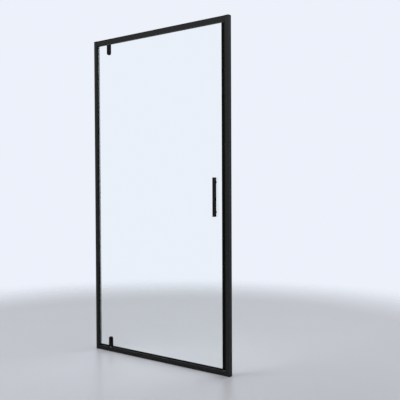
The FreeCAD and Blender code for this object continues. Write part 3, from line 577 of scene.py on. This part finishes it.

# %% [markdown]
# ## From mesh to piece
# A finished mesh needs three things before it is a piece of the door: smooth shading on its curved
# sides with crisp corners, a finish, and the body that it moves with. The CAD node that it stands
# for is hidden. Large flat faces would look bulged beside small round ones, because shading is
# blended at the corners. The Weighted Normal modifier lets the large faces rule there.

# %% Pieces
def report(thing):
    size = [round(side / MM, 1) for side in thing.dimensions]
    print(thing.name + ":", size, "mm,", len(thing.data.polygons), "faces")


def add_piece(name, mesh, node, more=()):
    """Make a piece that stands for a node, in the node's finish and more of them if it needs any."""
    for finish in (finish_of(node), *more):
        mesh.materials.append(finish)
    mesh.shade_smooth()
    mesh.set_sharp_from_angle(angle=SMOOTH_BELOW)
    piece = put(name, mesh)
    weigh = piece.modifiers.new("weigh", "WEIGHTED_NORMAL")
    weigh.keep_sharp = True
    piece.data = evaluated(piece)
    piece.data.name = name
    piece.modifiers.clear()
    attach(piece, frame["nodes"][node]["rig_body"])
    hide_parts(node)
    report(piece)


def box_mm(node):
    """Lowest and highest corner of a CAD node in millimetres."""
    low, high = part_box(node)
    return low / MM, high / MM


glass_low, glass_high = box_mm("glass_panel")
front_low, front_high = box_mm("bracket_fronts")
back_low, back_high = box_mm("bracket_backs")
handle_low, handle_high = box_mm("handle_bar")
pivot_x = (front_low.x + front_high.x) / 2
handle_x = (handle_low.x + handle_high.x) / 2
handle_z = (handle_low.z + handle_high.z) / 2
print("pivot axis at X", round(pivot_x, 1), "and handle at X", round(handle_x, 1), "mm")

# %% [markdown]
# ## The glass leaf
# A sheet is cut, notched for the two brackets, drilled for the handle and ground along its edges,
# all before it is toughened, because toughened glass can't be worked. A sharp arris would chip and
# cut, so it is taken off at 45 degrees, and that narrow facet catches the light along the edge of a
# real door. The CAD panel has sharp edges, so the leaf is made again with its arris, and its edge
# faces take the green finish.

# %% Glass leaf
CORNER_R = 3.0
NOTCH_R, NOTCH_DEPTH = 7.5, 48.0
HOLE_R, HOLE_PITCH = 4.0, 160.0
ARRIS = 0.6
FLAT_ON = 0.9
screw_heights = (handle_z - HOLE_PITCH / 2, handle_z + HOLE_PITCH / 2)


def glass_outline():
    left, right = glass_low.x + CORNER_R, glass_high.x - CORNER_R
    bottom, top = glass_low.z, glass_high.z
    straight = NOTCH_DEPTH - NOTCH_R
    points = arc(left, bottom + CORNER_R, CORNER_R, 180, 270)
    points += [(pivot_x - NOTCH_R, bottom)]
    points += arc(pivot_x, bottom + straight, NOTCH_R, 180, 0, steps=2 * CURVE_STEPS)
    points += [(pivot_x + NOTCH_R, bottom)]
    points += arc(right, bottom + CORNER_R, CORNER_R, 270, 360)
    points += arc(right, top - CORNER_R, CORNER_R, 0, 90)
    points += [(pivot_x + NOTCH_R, top)]
    points += arc(pivot_x, top - straight, NOTCH_R, 360, 180, steps=2 * CURVE_STEPS)
    points += [(pivot_x - NOTCH_R, top)]
    points += arc(left, top - CORNER_R, CORNER_R, 90, 180)
    return points


leaf_outlines = [glass_outline()] + [circle(HOLE_R, handle_x, z) for z in screw_heights]
leaf_mesh = drawn_out(leaf_outlines, glass_low.y, glass_high.y, facing_out, ARRIS, rings=1)
for polygon in leaf_mesh.polygons:
    polygon.material_index = 0 if abs(polygon.normal.y) > FLAT_ON else 1
add_piece("glass_leaf", leaf_mesh, "glass_panel", more=[glass_edge])

# %% [markdown]
# ## The handle
# The handle is a milled bar with a shallow hollow along each side for the fingers. The front corners
# are round and the two ends are cut square and eased. Its section is the same from end to end, so it
# is drawn out like the others, with more steps on its curves than the CAD bar has, because a long
# black bar shows every facet in its highlight. Two blind holes take the screws that come through
# the glass. A thin pad keeps metal off the glass in front, and two washers do the same behind. What
# cuts a hole or a pocket starts a little past the face, so that no skin is left on it.

# %% Handle, pad and washers
HANDLE_CORNER, HANDLE_EASE = 1.5, 0.5
GRIP_R, GRIP_DEPTH = 9.0, 1.2
TAPPED_R, TAPPED_DEPTH = 2.5, 10.0
PAD_R = 2.0
EASE = 0.2
PAST = 1.0


def handle_outline():
    half = handle_high.x - handle_x
    rear, front = handle_high.y, handle_low.y
    grip_x = half + GRIP_R - GRIP_DEPTH
    reach = math.degrees(math.acos((grip_x - half) / GRIP_R))
    right = [(half, rear)]
    right += arc(grip_x, (rear + front) / 2, GRIP_R, 180 - reach, 180 + reach)
    right += arc(half - HANDLE_CORNER, front + HANDLE_CORNER, HANDLE_CORNER, 0, -90)
    return [(handle_x + x, y) for x, y in right + [(-x, y) for x, y in reversed(right)]]


def rounded_box(left, right, low, high, radius, steps=5):
    """Outline of a rectangle with round corners."""
    points = []
    for x, y, start in ((left, low, 180), (right, low, 270), (right, high, 0), (left, high, 90)):
        x_in = radius if x == left else -radius
        y_in = radius if y == low else -radius
        points += arc(x + x_in, y + y_in, radius, start, start + 90, steps)
    return points


def ring_profile(bore, radius, near, far):
    """Profile of a washer between two heights, with eased outer edges."""
    return [(bore, near), (radius - EASE, near), (radius, near + EASE), (radius, far - EASE),
            (radius - EASE, far), (bore, far)]


def behind_the_handle(z):
    return lambda u, v, along: (handle_x + u, along, z + v)


bar = drawn_out([handle_outline()], handle_low.z, handle_high.z, upright, HANDLE_EASE, rings=3)
tapped = [drawn_out([circle(TAPPED_R)], handle_high.y + PAST, handle_high.y - TAPPED_DEPTH,
                    behind_the_handle(z)) for z in screw_heights]
add_piece("handle_grip", carved(bar, cut=tapped), "handle_bar")

pad_low, pad_high = box_mm("handle_gasket")
pad_outlines = [rounded_box(pad_low.x, pad_high.x, pad_low.z, pad_high.z, PAD_R)]
pad_outlines += [circle(TAPPED_R, handle_x, z) for z in screw_heights]
pad = drawn_out(pad_outlines, pad_low.y, pad_high.y, facing_out, EASE)
add_piece("handle_pad", pad, "handle_gasket")

washer_low, washer_high = box_mm("handle_washers")
washer_profile = ring_profile(TAPPED_R, washer_high.x - handle_x, washer_low.y, washer_high.y)
washers = [turned(washer_profile, behind_the_handle(z), loop=True) for z in screw_heights]
add_piece("handle_washer_pair", together(washers), "handle_washers")

# %% [markdown]
# ## The upright seals
# Three black profiles close the sides. On the hinge side a hollow bulb is clipped into the jamb and
# the glass swings past it. On the strike side one profile is pushed on the glass and the other is
# clipped into the jamb, and each has a closed chamber with a magnet strip. A rubber edge is never
# square, so each section is drawn again with its lips thinned towards the tip and its corners round.

# %% Upright seals
FOOT_HALF, NECK_HALF, FOOT_T, FOOT_SET_BACK = 3.7, 1.7, 1.6, 1.6
FOOT_ROUND = 0.4
BULB_R, BULB_WALL, BULB_TIP = 3.5, 1.0, 0.01
CHAMBER_WALL, CHAMBER_ROUND, HOLLOW_ROUND = 0.9, 0.9, 0.4
LEG_HALF, SLOT_HALF, LEG_TIP, LEG_TAPER, LEG_ROOT = 4.2, 3.02, 0.55, 2.4, 0.9
LEAD_IN, LEAD_IN_DEPTH = 0.25, 0.4
GLASS_PLAY, MAGNET_PLAY = 0.02, 0.1
MAGNET_ROUND = 0.3


def clip_foot(face):
    """Upper half of the clip-in foot, from its far side to the neck's root at the jamb's face."""
    near = face - FOOT_SET_BACK
    far = near - FOOT_T
    return (arc(far + FOOT_ROUND, FOOT_HALF - FOOT_ROUND, FOOT_ROUND, 180, 90, steps=4)
            + arc(near - FOOT_ROUND, FOOT_HALF - FOOT_ROUND, FOOT_ROUND, 90, 0, steps=4)
            + [(near, NECK_HALF), (face, NECK_HALF)])


def bulb_section():
    low, _ = box_mm("hinge_jamb_seal")
    face = low.x + FOOT_T + FOOT_SET_BACK
    hollow_r = BULB_R - BULB_WALL
    reach = math.degrees(math.acos(BULB_WALL / hollow_r))
    bulb = arc(face, 0, BULB_R, 90, 0)[:-1] + [(face + BULB_R, BULB_TIP)]
    return [both_halves(clip_foot(face) + bulb),
            arc(face, 0, hollow_r, -reach, reach, steps=2 * CURVE_STEPS)]


def chamber_end(start, tip, half):
    """Upper half of a closed chamber with round corners, from its start to its tip."""
    return (arc(start + CHAMBER_ROUND, half - CHAMBER_ROUND, CHAMBER_ROUND, 180, 90, steps=5)
            + arc(tip - CHAMBER_ROUND, half - CHAMBER_ROUND, CHAMBER_ROUND, 90, 0, steps=5))


def hollow_between(start, tip, half):
    inner = half - CHAMBER_WALL
    return rounded_box(start + CHAMBER_WALL, tip - CHAMBER_WALL, -inner, inner, HOLLOW_ROUND)


def holder_section():
    """The jamb's magnet profile, worked out as if it sat in the left jamb and then mirrored."""
    low, high = box_mm("magnet_holder")
    face, tip = FOOT_T + FOOT_SET_BACK - high.x, -low.x
    outside = both_halves(clip_foot(face) + chamber_end(face, tip, high.y))
    return [[(-x, y) for x, y in loop] for loop in (outside, hollow_between(face, tip, high.y))]


def strike_section():
    low, high = box_mm("strike_seal")
    magnet_low, _ = box_mm("door_magnet")
    start = magnet_low.x - CHAMBER_WALL - MAGNET_PLAY
    upper = [(glass_high.x + GLASS_PLAY, SLOT_HALF), (low.x + LEAD_IN_DEPTH, SLOT_HALF)]
    upper += [(low.x, SLOT_HALF + LEAD_IN), (low.x + LEAD_IN, SLOT_HALF + LEG_TIP)]
    upper += [(low.x + LEG_TAPER, LEG_HALF), (start - LEG_ROOT, LEG_HALF)]
    upper += chamber_end(start, high.x, high.y)
    return [both_halves(upper), hollow_between(start, high.x, high.y)]


def upright_seal(name, node, section):
    low, high = box_mm(node)
    add_piece(name, drawn_out(section, low.z, high.z, upright), node)


def magnet_bar(name, node):
    low, high = box_mm(node)
    upright_seal(name, node, [rounded_box(low.x, high.x, low.y, high.y, MAGNET_ROUND)])


upright_seal("bulb_seal", "hinge_jamb_seal", bulb_section())
upright_seal("jamb_magnet_profile", "magnet_holder", holder_section())
upright_seal("leaf_magnet_profile", "strike_seal", strike_section())
magnet_bar("jamb_magnet_bar", "jamb_magnet")
magnet_bar("leaf_magnet_bar", "door_magnet")

# %% [markdown]
# ## The drip seals
# Two lengths of one profile sit on the glass's lower edge, one on each side of the bottom bracket.
# Two legs grip the glass and a thin fin leans to the inside, where it leads water back to the sill.
# The fin is drawn as a curved lip that gets thinner towards its tip, as a soft fin does.

# %% Drip seals
DRIP_BASE, DRIP_BASE_ROUND, DRIP_TAPER = 2.0, 0.8, 2.0
# The lip's outline: down from the base, round the lowest point and up to the base again.
LIP_FRONT, LIP_REAR = [(0.9, 0), (1.25, -0.5)], [(0.1, -0.6), (-0.7, 0)]
LIP_TIP = [(1.85, 0.12), (1.55, 0), (0.95, 0.25)]


def drip_section():
    low, high = box_mm("drip_seal_long")
    floor = glass_low.z
    base = floor - DRIP_BASE
    right = [(SLOT_HALF, floor - GLASS_PLAY), (SLOT_HALF, high.z - LEAD_IN_DEPTH)]
    right += [(SLOT_HALF + LEAD_IN, high.z), (SLOT_HALF + LEG_TIP, high.z - LEAD_IN)]
    right += [(LEG_HALF, high.z - DRIP_TAPER)]
    right += arc(LEG_HALF - DRIP_BASE_ROUND, base + DRIP_BASE_ROUND, DRIP_BASE_ROUND, 0, -90, steps=5)
    left = [(-y, z) for y, z in reversed(right)]
    lip = [(y, height + z) for height, part in ((base, LIP_FRONT), (low.z, LIP_TIP), (base, LIP_REAR))
           for y, z in part]
    return right + lip + left


for name, node in (("long_drip_profile", "drip_seal_long"), ("short_drip_profile", "drip_seal_short")):
    low, high = box_mm(node)
    add_piece(name, drawn_out([drip_section()], low.x, high.x, crosswise), node)

# %% [markdown]
# ## Pivot brackets
# Each bracket is two milled plates that clamp the glass between thin gaskets. The front plate has a
# boss that fills the notch in the glass. The boss holds the bush that turns on the pin, and the
# clamp screws cut their threads in it. The back plate has a shallow pocket over the boss and two
# countersunk holes. A plain block would look much the same from afar, but not up close or from
# behind. So both plates are drawn out from one outline and their outer rims eased, and the boss,
# bore, pocket and holes are joined on or cut with booleans.

# %% Bracket plates
CLAMP_HEIGHT, CLAMP_RIM = 62.0, 1.0
BOSS_HALF, BOSS_HEIGHT = 6.75, 48.25
BUSH_SEAT_R, BUSH_SEAT_DEPTH = 4.55, 12.5
CLAMP_HOLE_R, CLAMP_HOLE_DEPTH, CLAMP_HEAD_R = 2.05, 11.5, 4.05
CLAMP_HOLES_AT = (27.0, 40.0)
SLACK = 0.1
clamp_half = front_high.x - pivot_x
bracket_ends = ((front_high.z, -1), (front_low.z, 1))


def round_ended(half, height, start=0.0):
    """Outline that is square at its start and half-round at its height."""
    return [(-half, start), (half, start)] + arc(0, height - half, half, 0, 180, 2 * CURVE_STEPS)


clamp_outline = round_ended(clamp_half, CLAMP_HEIGHT)


def through_the_glass(end, inward):
    """Place for an outline that lies on the glass: across, away from the bracket's end, through."""
    return lambda u, v, along: (pivot_x + u, along, end + inward * v)


def up_the_axis(end, inward):
    """Place for an outline round the pivot axis, drawn out away from the bracket's end."""
    return lambda u, v, along: (pivot_x + u, v, end + inward * along)


def clamp_front(end, inward):
    across = through_the_glass(end, inward)
    face, rear, inside = front_low.y, front_high.y, -back_low.y
    plate = drawn_out([clamp_outline], face, inside, across, CLAMP_RIM, rims=[face])
    boss = drawn_out([round_ended(BOSS_HALF, BOSS_HEIGHT, SLACK / 2)], inside - PAST, rear, across)
    cut = [drawn_out([circle(BUSH_SEAT_R)], -PAST, BUSH_SEAT_DEPTH, up_the_axis(end, inward))]
    cut += [drawn_out([circle(CLAMP_HOLE_R, 0, at)], rear + PAST, rear - CLAMP_HOLE_DEPTH, across)
            for at in CLAMP_HOLES_AT]
    return carved(plate, joined=[boss], cut=cut)


def clamp_back(end, inward):
    across = through_the_glass(end, inward)
    inside, face = back_low.y, back_high.y
    plate = drawn_out([clamp_outline], inside, face, across, CLAMP_RIM, rims=[face])
    pocket = round_ended(BOSS_HALF + SLACK, BOSS_HEIGHT + SLACK, -PAST)
    cut = [drawn_out([pocket], inside - PAST, front_high.y + SLACK, across)]
    neck = face - (CLAMP_HEAD_R - CLAMP_HOLE_R)
    for at in CLAMP_HOLES_AT:
        rings = [(circle(CLAMP_HEAD_R + PAST / 2, 0, at), face + PAST / 2),
                 (circle(CLAMP_HOLE_R, 0, at), neck), (circle(CLAMP_HOLE_R, 0, at), inside - PAST)]
        cut.append(stacked(rings, across))
    return carved(plate, cut=cut)


for name, node, shape in (("clamp_fronts", "bracket_fronts", clamp_front),
                          ("clamp_backs", "bracket_backs", clamp_back)):
    add_piece(name, together([shape(end, inward) for end, inward in bracket_ends]), node)

# %% [markdown]
# The gaskets lie between the plates and the glass. They are cut from one sheet, with a straight
# notch for the boss. The bushes are turned from nylon and pushed into the bosses. They run on thin
# washers, and the lower one carries the whole leaf. They show only as pale or dark lines in the
# gaps, but those lines make the pivot look as if it turns.

# %% Gaskets, bushes and washers
GASKET_INSET, NOTCH_EDGE = 1.0, 1.0
BUSH_BORE, BUSH_R, BUSH_LENGTH, FLANGE_R, FLANGE_T = 3.05, 4.5, 12.0, 6.5, 1.5
WASHER_T = 1.0
BUSH_EASE = 0.4


def gasket_outline():
    half = clamp_half - GASKET_INSET
    foot = NOTCH_EDGE + NOTCH_DEPTH
    points = [(-half, NOTCH_EDGE), (-NOTCH_R, NOTCH_EDGE), (-NOTCH_R, foot), (NOTCH_R, foot)]
    points += [(NOTCH_R, NOTCH_EDGE), (half, NOTCH_EDGE)]
    return points + arc(0, CLAMP_HEIGHT - GASKET_INSET - half, half, 0, 180, 2 * CURVE_STEPS)


sheets = [drawn_out([gasket_outline()], near, far, through_the_glass(end, inward), EASE)
          for end, inward in bracket_ends
          for near, far in ((-back_low.y, glass_low.y), (glass_high.y, back_low.y))]
add_piece("clamp_gaskets", together(sheets), "bracket_gaskets")

bush_profile = [(BUSH_BORE, -FLANGE_T), (FLANGE_R - EASE, -FLANGE_T), (FLANGE_R, EASE - FLANGE_T),
                (FLANGE_R, 0), (BUSH_R, 0), (BUSH_R, BUSH_LENGTH - BUSH_EASE),
                (BUSH_R - BUSH_EASE, BUSH_LENGTH), (BUSH_BORE, BUSH_LENGTH)]
bushes = [turned(bush_profile, up_the_axis(end, inward), loop=True) for end, inward in bracket_ends]
add_piece("bush_pair", together(bushes), "pivot_bushes")

thrust_low, thrust_high = box_mm("pivot_washers")
thrust_profile = ring_profile(BUSH_BORE, thrust_high.x - pivot_x, 0, WASHER_T)
thrust = [turned(thrust_profile, up_the_axis(seat, inward), loop=True)
          for seat, inward in ((thrust_high.z, -1), (thrust_low.z, 1))]
add_piece("thrust_washer_pair", together(thrust), "pivot_washers")

# %% [markdown]
# ## Screws
# Twenty-four screws hold the door together, of five kinds. Each kind is turned once, as a lathe would
# do it, and its drive is cut into the head: a cross, or a hexagon for a key. Geometry Nodes then put
# a copy at every seat. The seats are read from the CAD, one for each solid in a node of screws, so
# the screws stay right when the door's size changes. No two screws in a real frame stop at the same
# angle, so each gets a random turn, from a fixed seed.

# %% Screw blanks
CROSS_TOP, CROSS_BOTTOM, CROSS_DEPTH = (2.5, 0.95), (0.7, 0.6), 1.5
HEX_KEY, HEX_DEPTH = 3.0, 1.6
ABOVE_HEAD = 0.6
TIP_LENGTH, TIP_SHARE = 1.0, 0.6
# Shares of the head's radius and of its height, from the middle of the dome to its rim.
DOME = [(0, 0), (0.35, 0.04), (0.62, 0.16), (0.84, 0.38), (0.97, 0.66), (1, 0.86), (0.99, 1)]
# Distances in from a head's edge and down from its top, where its rim is broken.
FLAT_RIM, CAP_RIM = [(0.25, 0), (0, 0.15)], [(0.7, 0), (0.2, 0.22), (0, 0.7)]
# The block screws lie in ten-sided seats, so their round heads are a little smaller than those.
IN_SEAT = 0.95
# A boolean leaves slivers where a corner of the cutter lies on an edge of the head, so it is turned.
OFF_THE_EDGES = 5


def turned_by(degrees, outline):
    c, s = math.cos(math.radians(degrees)), math.sin(math.radians(degrees))
    return [(x * c - y * s, x * s + y * c) for x, y in outline]


def cross_outline(arm, width):
    half = width / 2
    quarter = [(arm, -half), (arm, half), (half, half)]
    return [point for degrees in (0, 90, 180, 270) for point in turned_by(degrees, quarter)]


def drive(top, bottom, depth):
    """Cutter for a drive, from just above the head to its depth, where it is the smaller outline."""
    rings = [(turned_by(OFF_THE_EDGES, top), ABOVE_HEAD), (turned_by(OFF_THE_EDGES, bottom), -depth)]
    return stacked(rings, upright)


def cross_drive():
    return drive(cross_outline(*CROSS_TOP), cross_outline(*CROSS_BOTTOM), CROSS_DEPTH)


def hexagon_drive():
    outline = circle(HEX_KEY / math.sqrt(3), sides=6)
    return drive(outline, outline, HEX_DEPTH)


def shank(radius, start, tip):
    """Profile of a shank that tapers at its tip."""
    return [(radius, start), (radius, tip + TIP_LENGTH), (radius * TIP_SHARE, tip), (0, tip)]


def pan_head(shank_d, length, head_d, head_h):
    """Domed head. The top of the dome is at Z = 0 and the shank points down."""
    head = [(share * head_d / 2, -drop * head_h) for share, drop in DOME]
    return head + shank(shank_d / 2, -head_h, -head_h - length)


def flat_top(edge, rim):
    return [(0, 0)] + [(edge - x, -z) for x, z in rim]


def flat_head(shank_d, length, head_d):
    """Countersunk head whose flat top is at Z = 0."""
    edge = head_d / 2
    return flat_top(edge, FLAT_RIM) + shank(shank_d / 2, shank_d / 2 - edge, -length)


def cap_head(shank_d, length, head_d, head_h):
    """Straight-sided head with an eased rim."""
    edge = head_d / 2
    return flat_top(edge, CAP_RIM) + [(edge, -head_h)] + shank(shank_d / 2, -head_h, -head_h - length)


screw_profiles = {
    "corner_screws": (pan_head(shank_d=4.2, length=38.0, head_d=7.6, head_h=2.6), cross_drive),
    "locking_screws": (pan_head(shank_d=3.9, length=9.5, head_d=7.6, head_h=2.2), cross_drive),
    "block_screws": (flat_head(shank_d=4.0 * IN_SEAT, length=14.0, head_d=8.0 * IN_SEAT), cross_drive),
    "bracket_screws": (flat_head(shank_d=4.0, length=12.0, head_d=8.0), hexagon_drive),
    "handle_screws": (cap_head(shank_d=5.0, length=16.0, head_d=9.5, head_h=2.75), hexagon_drive),
}
screw_blanks = {}
for node, (profile, make_drive) in screw_profiles.items():
    screw_blanks[node] = put(node + "_blank", carved(turned(profile), cut=[make_drive()]))
    report(screw_blanks[node])


# %% Seats of the screws
TOUCHING = 1e-6


def solids_of(node):
    """Lowest and highest corner of each separate solid in a CAD node."""
    form = bmesh.new()
    form.from_mesh(frame["nodes"][node].data)
    bmesh.ops.remove_doubles(form, verts=form.verts, dist=TOUCHING)
    left = set(form.verts)
    boxes = []
    while left:
        group, edge = set(), {left.pop()}
        while edge:
            group |= edge
            edge = {e.other_vert(v) for v in edge for e in v.link_edges} - group
        left -= group
        corners = [v.co.copy() for v in group]
        boxes.append([Vector(pick(c[i] for c in corners) for i in range(3)) for pick in (min, max)])
    form.free()
    return sorted(boxes, key=lambda box: tuple(round(value, 5) for value in box[0]))


def outward_of(node, middle):
    """Which way a screw's head faces."""
    if node == "corner_screws":
        return Vector((math.copysign(1, middle.x), 0, 0))
    return Vector((0, 0, -1)) if node == "block_screws" else Vector((0, 1, 0))


def seats_of(node):
    """Mesh with one point at the top of each head, and the way that the head faces."""
    places, ways = [], []
    for low, high in solids_of(node):
        middle = (low + high) / 2
        way = outward_of(node, middle)
        reach = (high - low) / 2
        places.append(middle + Vector(way[i] * reach[i] for i in range(3)))
        ways.append(way)
    mesh = bpy.data.meshes.new(node + "_seats")
    mesh.from_pydata(places, [], [])
    outward = mesh.attributes.new("outward", "FLOAT_VECTOR", "POINT")
    outward.data.foreach_set("vector", [value for way in ways for value in way])
    return mesh


seats = {node: seats_of(node) for node in screw_blanks}
print("seats:", {node: len(mesh.vertices) for node, mesh in seats.items()})


# %% Screws at their seats
FIRST_SEED = 3
SEAT_INPUTS = {"Seats": "Geometry", "Screw": "Object", "Full turn": "Float", "Seed": "Int",
               "Finish": "Material"}


def seat_tree():
    """Geometry Nodes: a screw on each seat, turned to face outward and by a random angle."""
    group = bpy.data.node_groups.new("screws_at_their_seats", "GeometryNodeTree")
    tree = Tree(group)
    sockets = {name: group.interface.new_socket(name, in_out="INPUT", socket_type="NodeSocket" + kind)
               for name, kind in SEAT_INPUTS.items()}
    group.interface.new_socket("Screws", in_out="OUTPUT", socket_type="NodeSocketGeometry")
    given = {name: tree.node("NodeGroupInput", output=name) for name in SEAT_INPUTS}
    screw = tree.node("GeometryNodeObjectInfo", {}, {"Object": given["Screw"]}, output="Geometry")
    way = tree.node("GeometryNodeInputNamedAttribute", {"data_type": "FLOAT_VECTOR"},
                    {"Name": "outward"}, output="Attribute")
    facing = tree.node("FunctionNodeAlignRotationToVector", {"axis": "Z"}, {"Vector": way})
    angle = tree.node("FunctionNodeRandomValue", {},
                      {2: 0.0, 3: given["Full turn"], "Seed": given["Seed"]}, output=1)
    twist = tree.node("FunctionNodeAxisAngleToRotation", {}, {"Axis": (0, 0, 1), "Angle": angle})
    turn = tree.node("FunctionNodeRotateRotation", {"rotation_space": "LOCAL"},
                     {"Rotation": facing, "Rotate By": twist})
    placed = tree.node("GeometryNodeInstanceOnPoints", {},
                       {"Points": given["Seats"], "Instance": screw, "Rotation": turn})
    real = tree.node("GeometryNodeRealizeInstances", {}, {"Geometry": placed})
    coated = tree.node("GeometryNodeSetMaterial", {}, {"Geometry": real, "Material": given["Finish"]})
    tree.node("NodeGroupOutput", {}, {"Screws": coated})
    return group, {name: socket.identifier for name, socket in sockets.items()}


seat_nodes, seat_inputs = seat_tree()


def set_screws(node, seed):
    """Run the tree for one node of screws and keep the result as a plain mesh."""
    carrier = put(node + "_carrier", seats[node])
    modifier = carrier.modifiers.new("screws", "NODES")
    modifier.node_group = seat_nodes
    values = {"Screw": screw_blanks[node], "Full turn": math.tau, "Seed": seed, "Finish": finish_of(node)}
    for name, value in values.items():
        modifier[seat_inputs[name]] = value
    mesh = evaluated(carrier)
    mesh.materials.clear()
    bpy.data.objects.remove(carrier)
    add_piece(node + "_set", mesh, node)


for seed, node in enumerate(screw_blanks, start=FIRST_SEED):
    set_screws(node, seed)
for blank in screw_blanks.values():
    bpy.data.objects.remove(blank)

# %% [markdown]
# ## Floor and light
# The door stands on a pale floor in front of a pale sky. The floor is a disc that fades out towards
# its rim, so no hard edge or horizon shows from any side. It keeps the soft shadow of the frame. The
# backdrop is the colour of the world itself, which is seen by the camera, in glass and in gloss at
# full strength, and lights the door at about half of it. Two large soft lamps do the rest: one high
# on the left, above what the glass mirrors, and a weaker one behind, for the inside of the door.

# %% Floor
FLOOR_RADIUS, FADE_FROM, FLOOR_SIDES = 3.3, 1.9, 96
FLOOR_DARK, FLOOR_LIGHT = (0.50, 0.51, 0.55, 1), (0.56, 0.57, 0.61, 1)
FLOOR_GLOSS, FLOOR_SHINE = 0.30, 0.35
CLOUD_SIZE, CLOUD_DULLS = 0.5, 0.08


def floor_finish():
    floor = Finish("pale_floor")
    distance = floor.node("ShaderNodeVectorMath", {"operation": "LENGTH"}, {0: floor.place},
                          output="Value")
    fade = floor.node("ShaderNodeMapRange", {"interpolation_type": "SMOOTHSTEP"},
                      {"Value": distance, "From Min": FADE_FROM, "From Max": FLOOR_RADIUS})
    cloud = floor.noise(CLOUD_SIZE, detail=3)
    screed = floor.surface({
        "Base Color": floor.mix(cloud, FLOOR_DARK, FLOOR_LIGHT),
        "Roughness": FLOOR_GLOSS + CLOUD_DULLS * cloud,
        "Specular IOR Level": FLOOR_SHINE,
    })
    nothing = floor.node("ShaderNodeBsdfTransparent", {}, {})
    return floor.done(floor.node("ShaderNodeMixShader", {}, {0: fade, 1: screed, 2: nothing}))


def make_floor():
    form = bmesh.new()
    bmesh.ops.create_circle(form, cap_ends=True, segments=FLOOR_SIDES, radius=FLOOR_RADIUS)
    mesh = bpy.data.meshes.new("floor")
    form.to_mesh(mesh)
    form.free()
    floor = put("floor", mesh)
    floor.data.materials.append(floor_finish())


make_floor()
print("floor: a disc", FLOOR_RADIUS, "m in radius that fades from", FADE_FROM, "m")

# %% Light
BACKDROP = (0.84, 0.88, 0.96, 1)
SKY_LIGHT, SKY_STRENGTH = (1.0, 1.0, 1.0, 1), 0.55
LAMPS_AIM_AT = (0, 0, 0.9)
KEY = {"place": (-1.6, -2.6, 4.6), "size": 2.2, "power": 80}
REAR = {"place": (1.2, 2.8, 4.2), "size": 2.0, "power": 40}


def make_world():
    """A sky that looks like the backdrop to eye, gloss and glass, and lights like plain white."""
    world = bpy.data.worlds.new("sky")
    world.use_nodes = True
    tree = Tree(world.node_tree)
    looks = tree.node("ShaderNodeLightPath", output="Is Camera Ray")
    for ray in ("Is Glossy Ray", "Is Transmission Ray"):
        looks = looks.maths("MAXIMUM", tree.node("ShaderNodeLightPath", output=ray))
    light = tree.node("ShaderNodeBackground", {}, {"Color": SKY_LIGHT, "Strength": SKY_STRENGTH})
    backdrop = tree.node("ShaderNodeBackground", {}, {"Color": BACKDROP})
    choice = tree.node("ShaderNodeMixShader", {}, {0: looks, 1: light, 2: backdrop})
    tree.node("ShaderNodeOutputWorld", {}, {"Surface": choice})
    scene.world = world


def softbox(name, place, size, power):
    data = bpy.data.lights.new(name, "AREA")
    data.shape = "SQUARE"
    data.size = size
    data.energy = power
    lamp = put(name, data)
    way = Vector(LAMPS_AIM_AT) - Vector(place)
    lamp.matrix_world = Matrix.Translation(place) @ way.to_track_quat("-Z", "Y").to_matrix().to_4x4()


make_world()
softbox("key_softbox", **KEY)
softbox("rear_softbox", **REAR)
scene.view_settings.view_transform = "Standard"
print("light: sky at", SKY_STRENGTH, "and two softboxes")
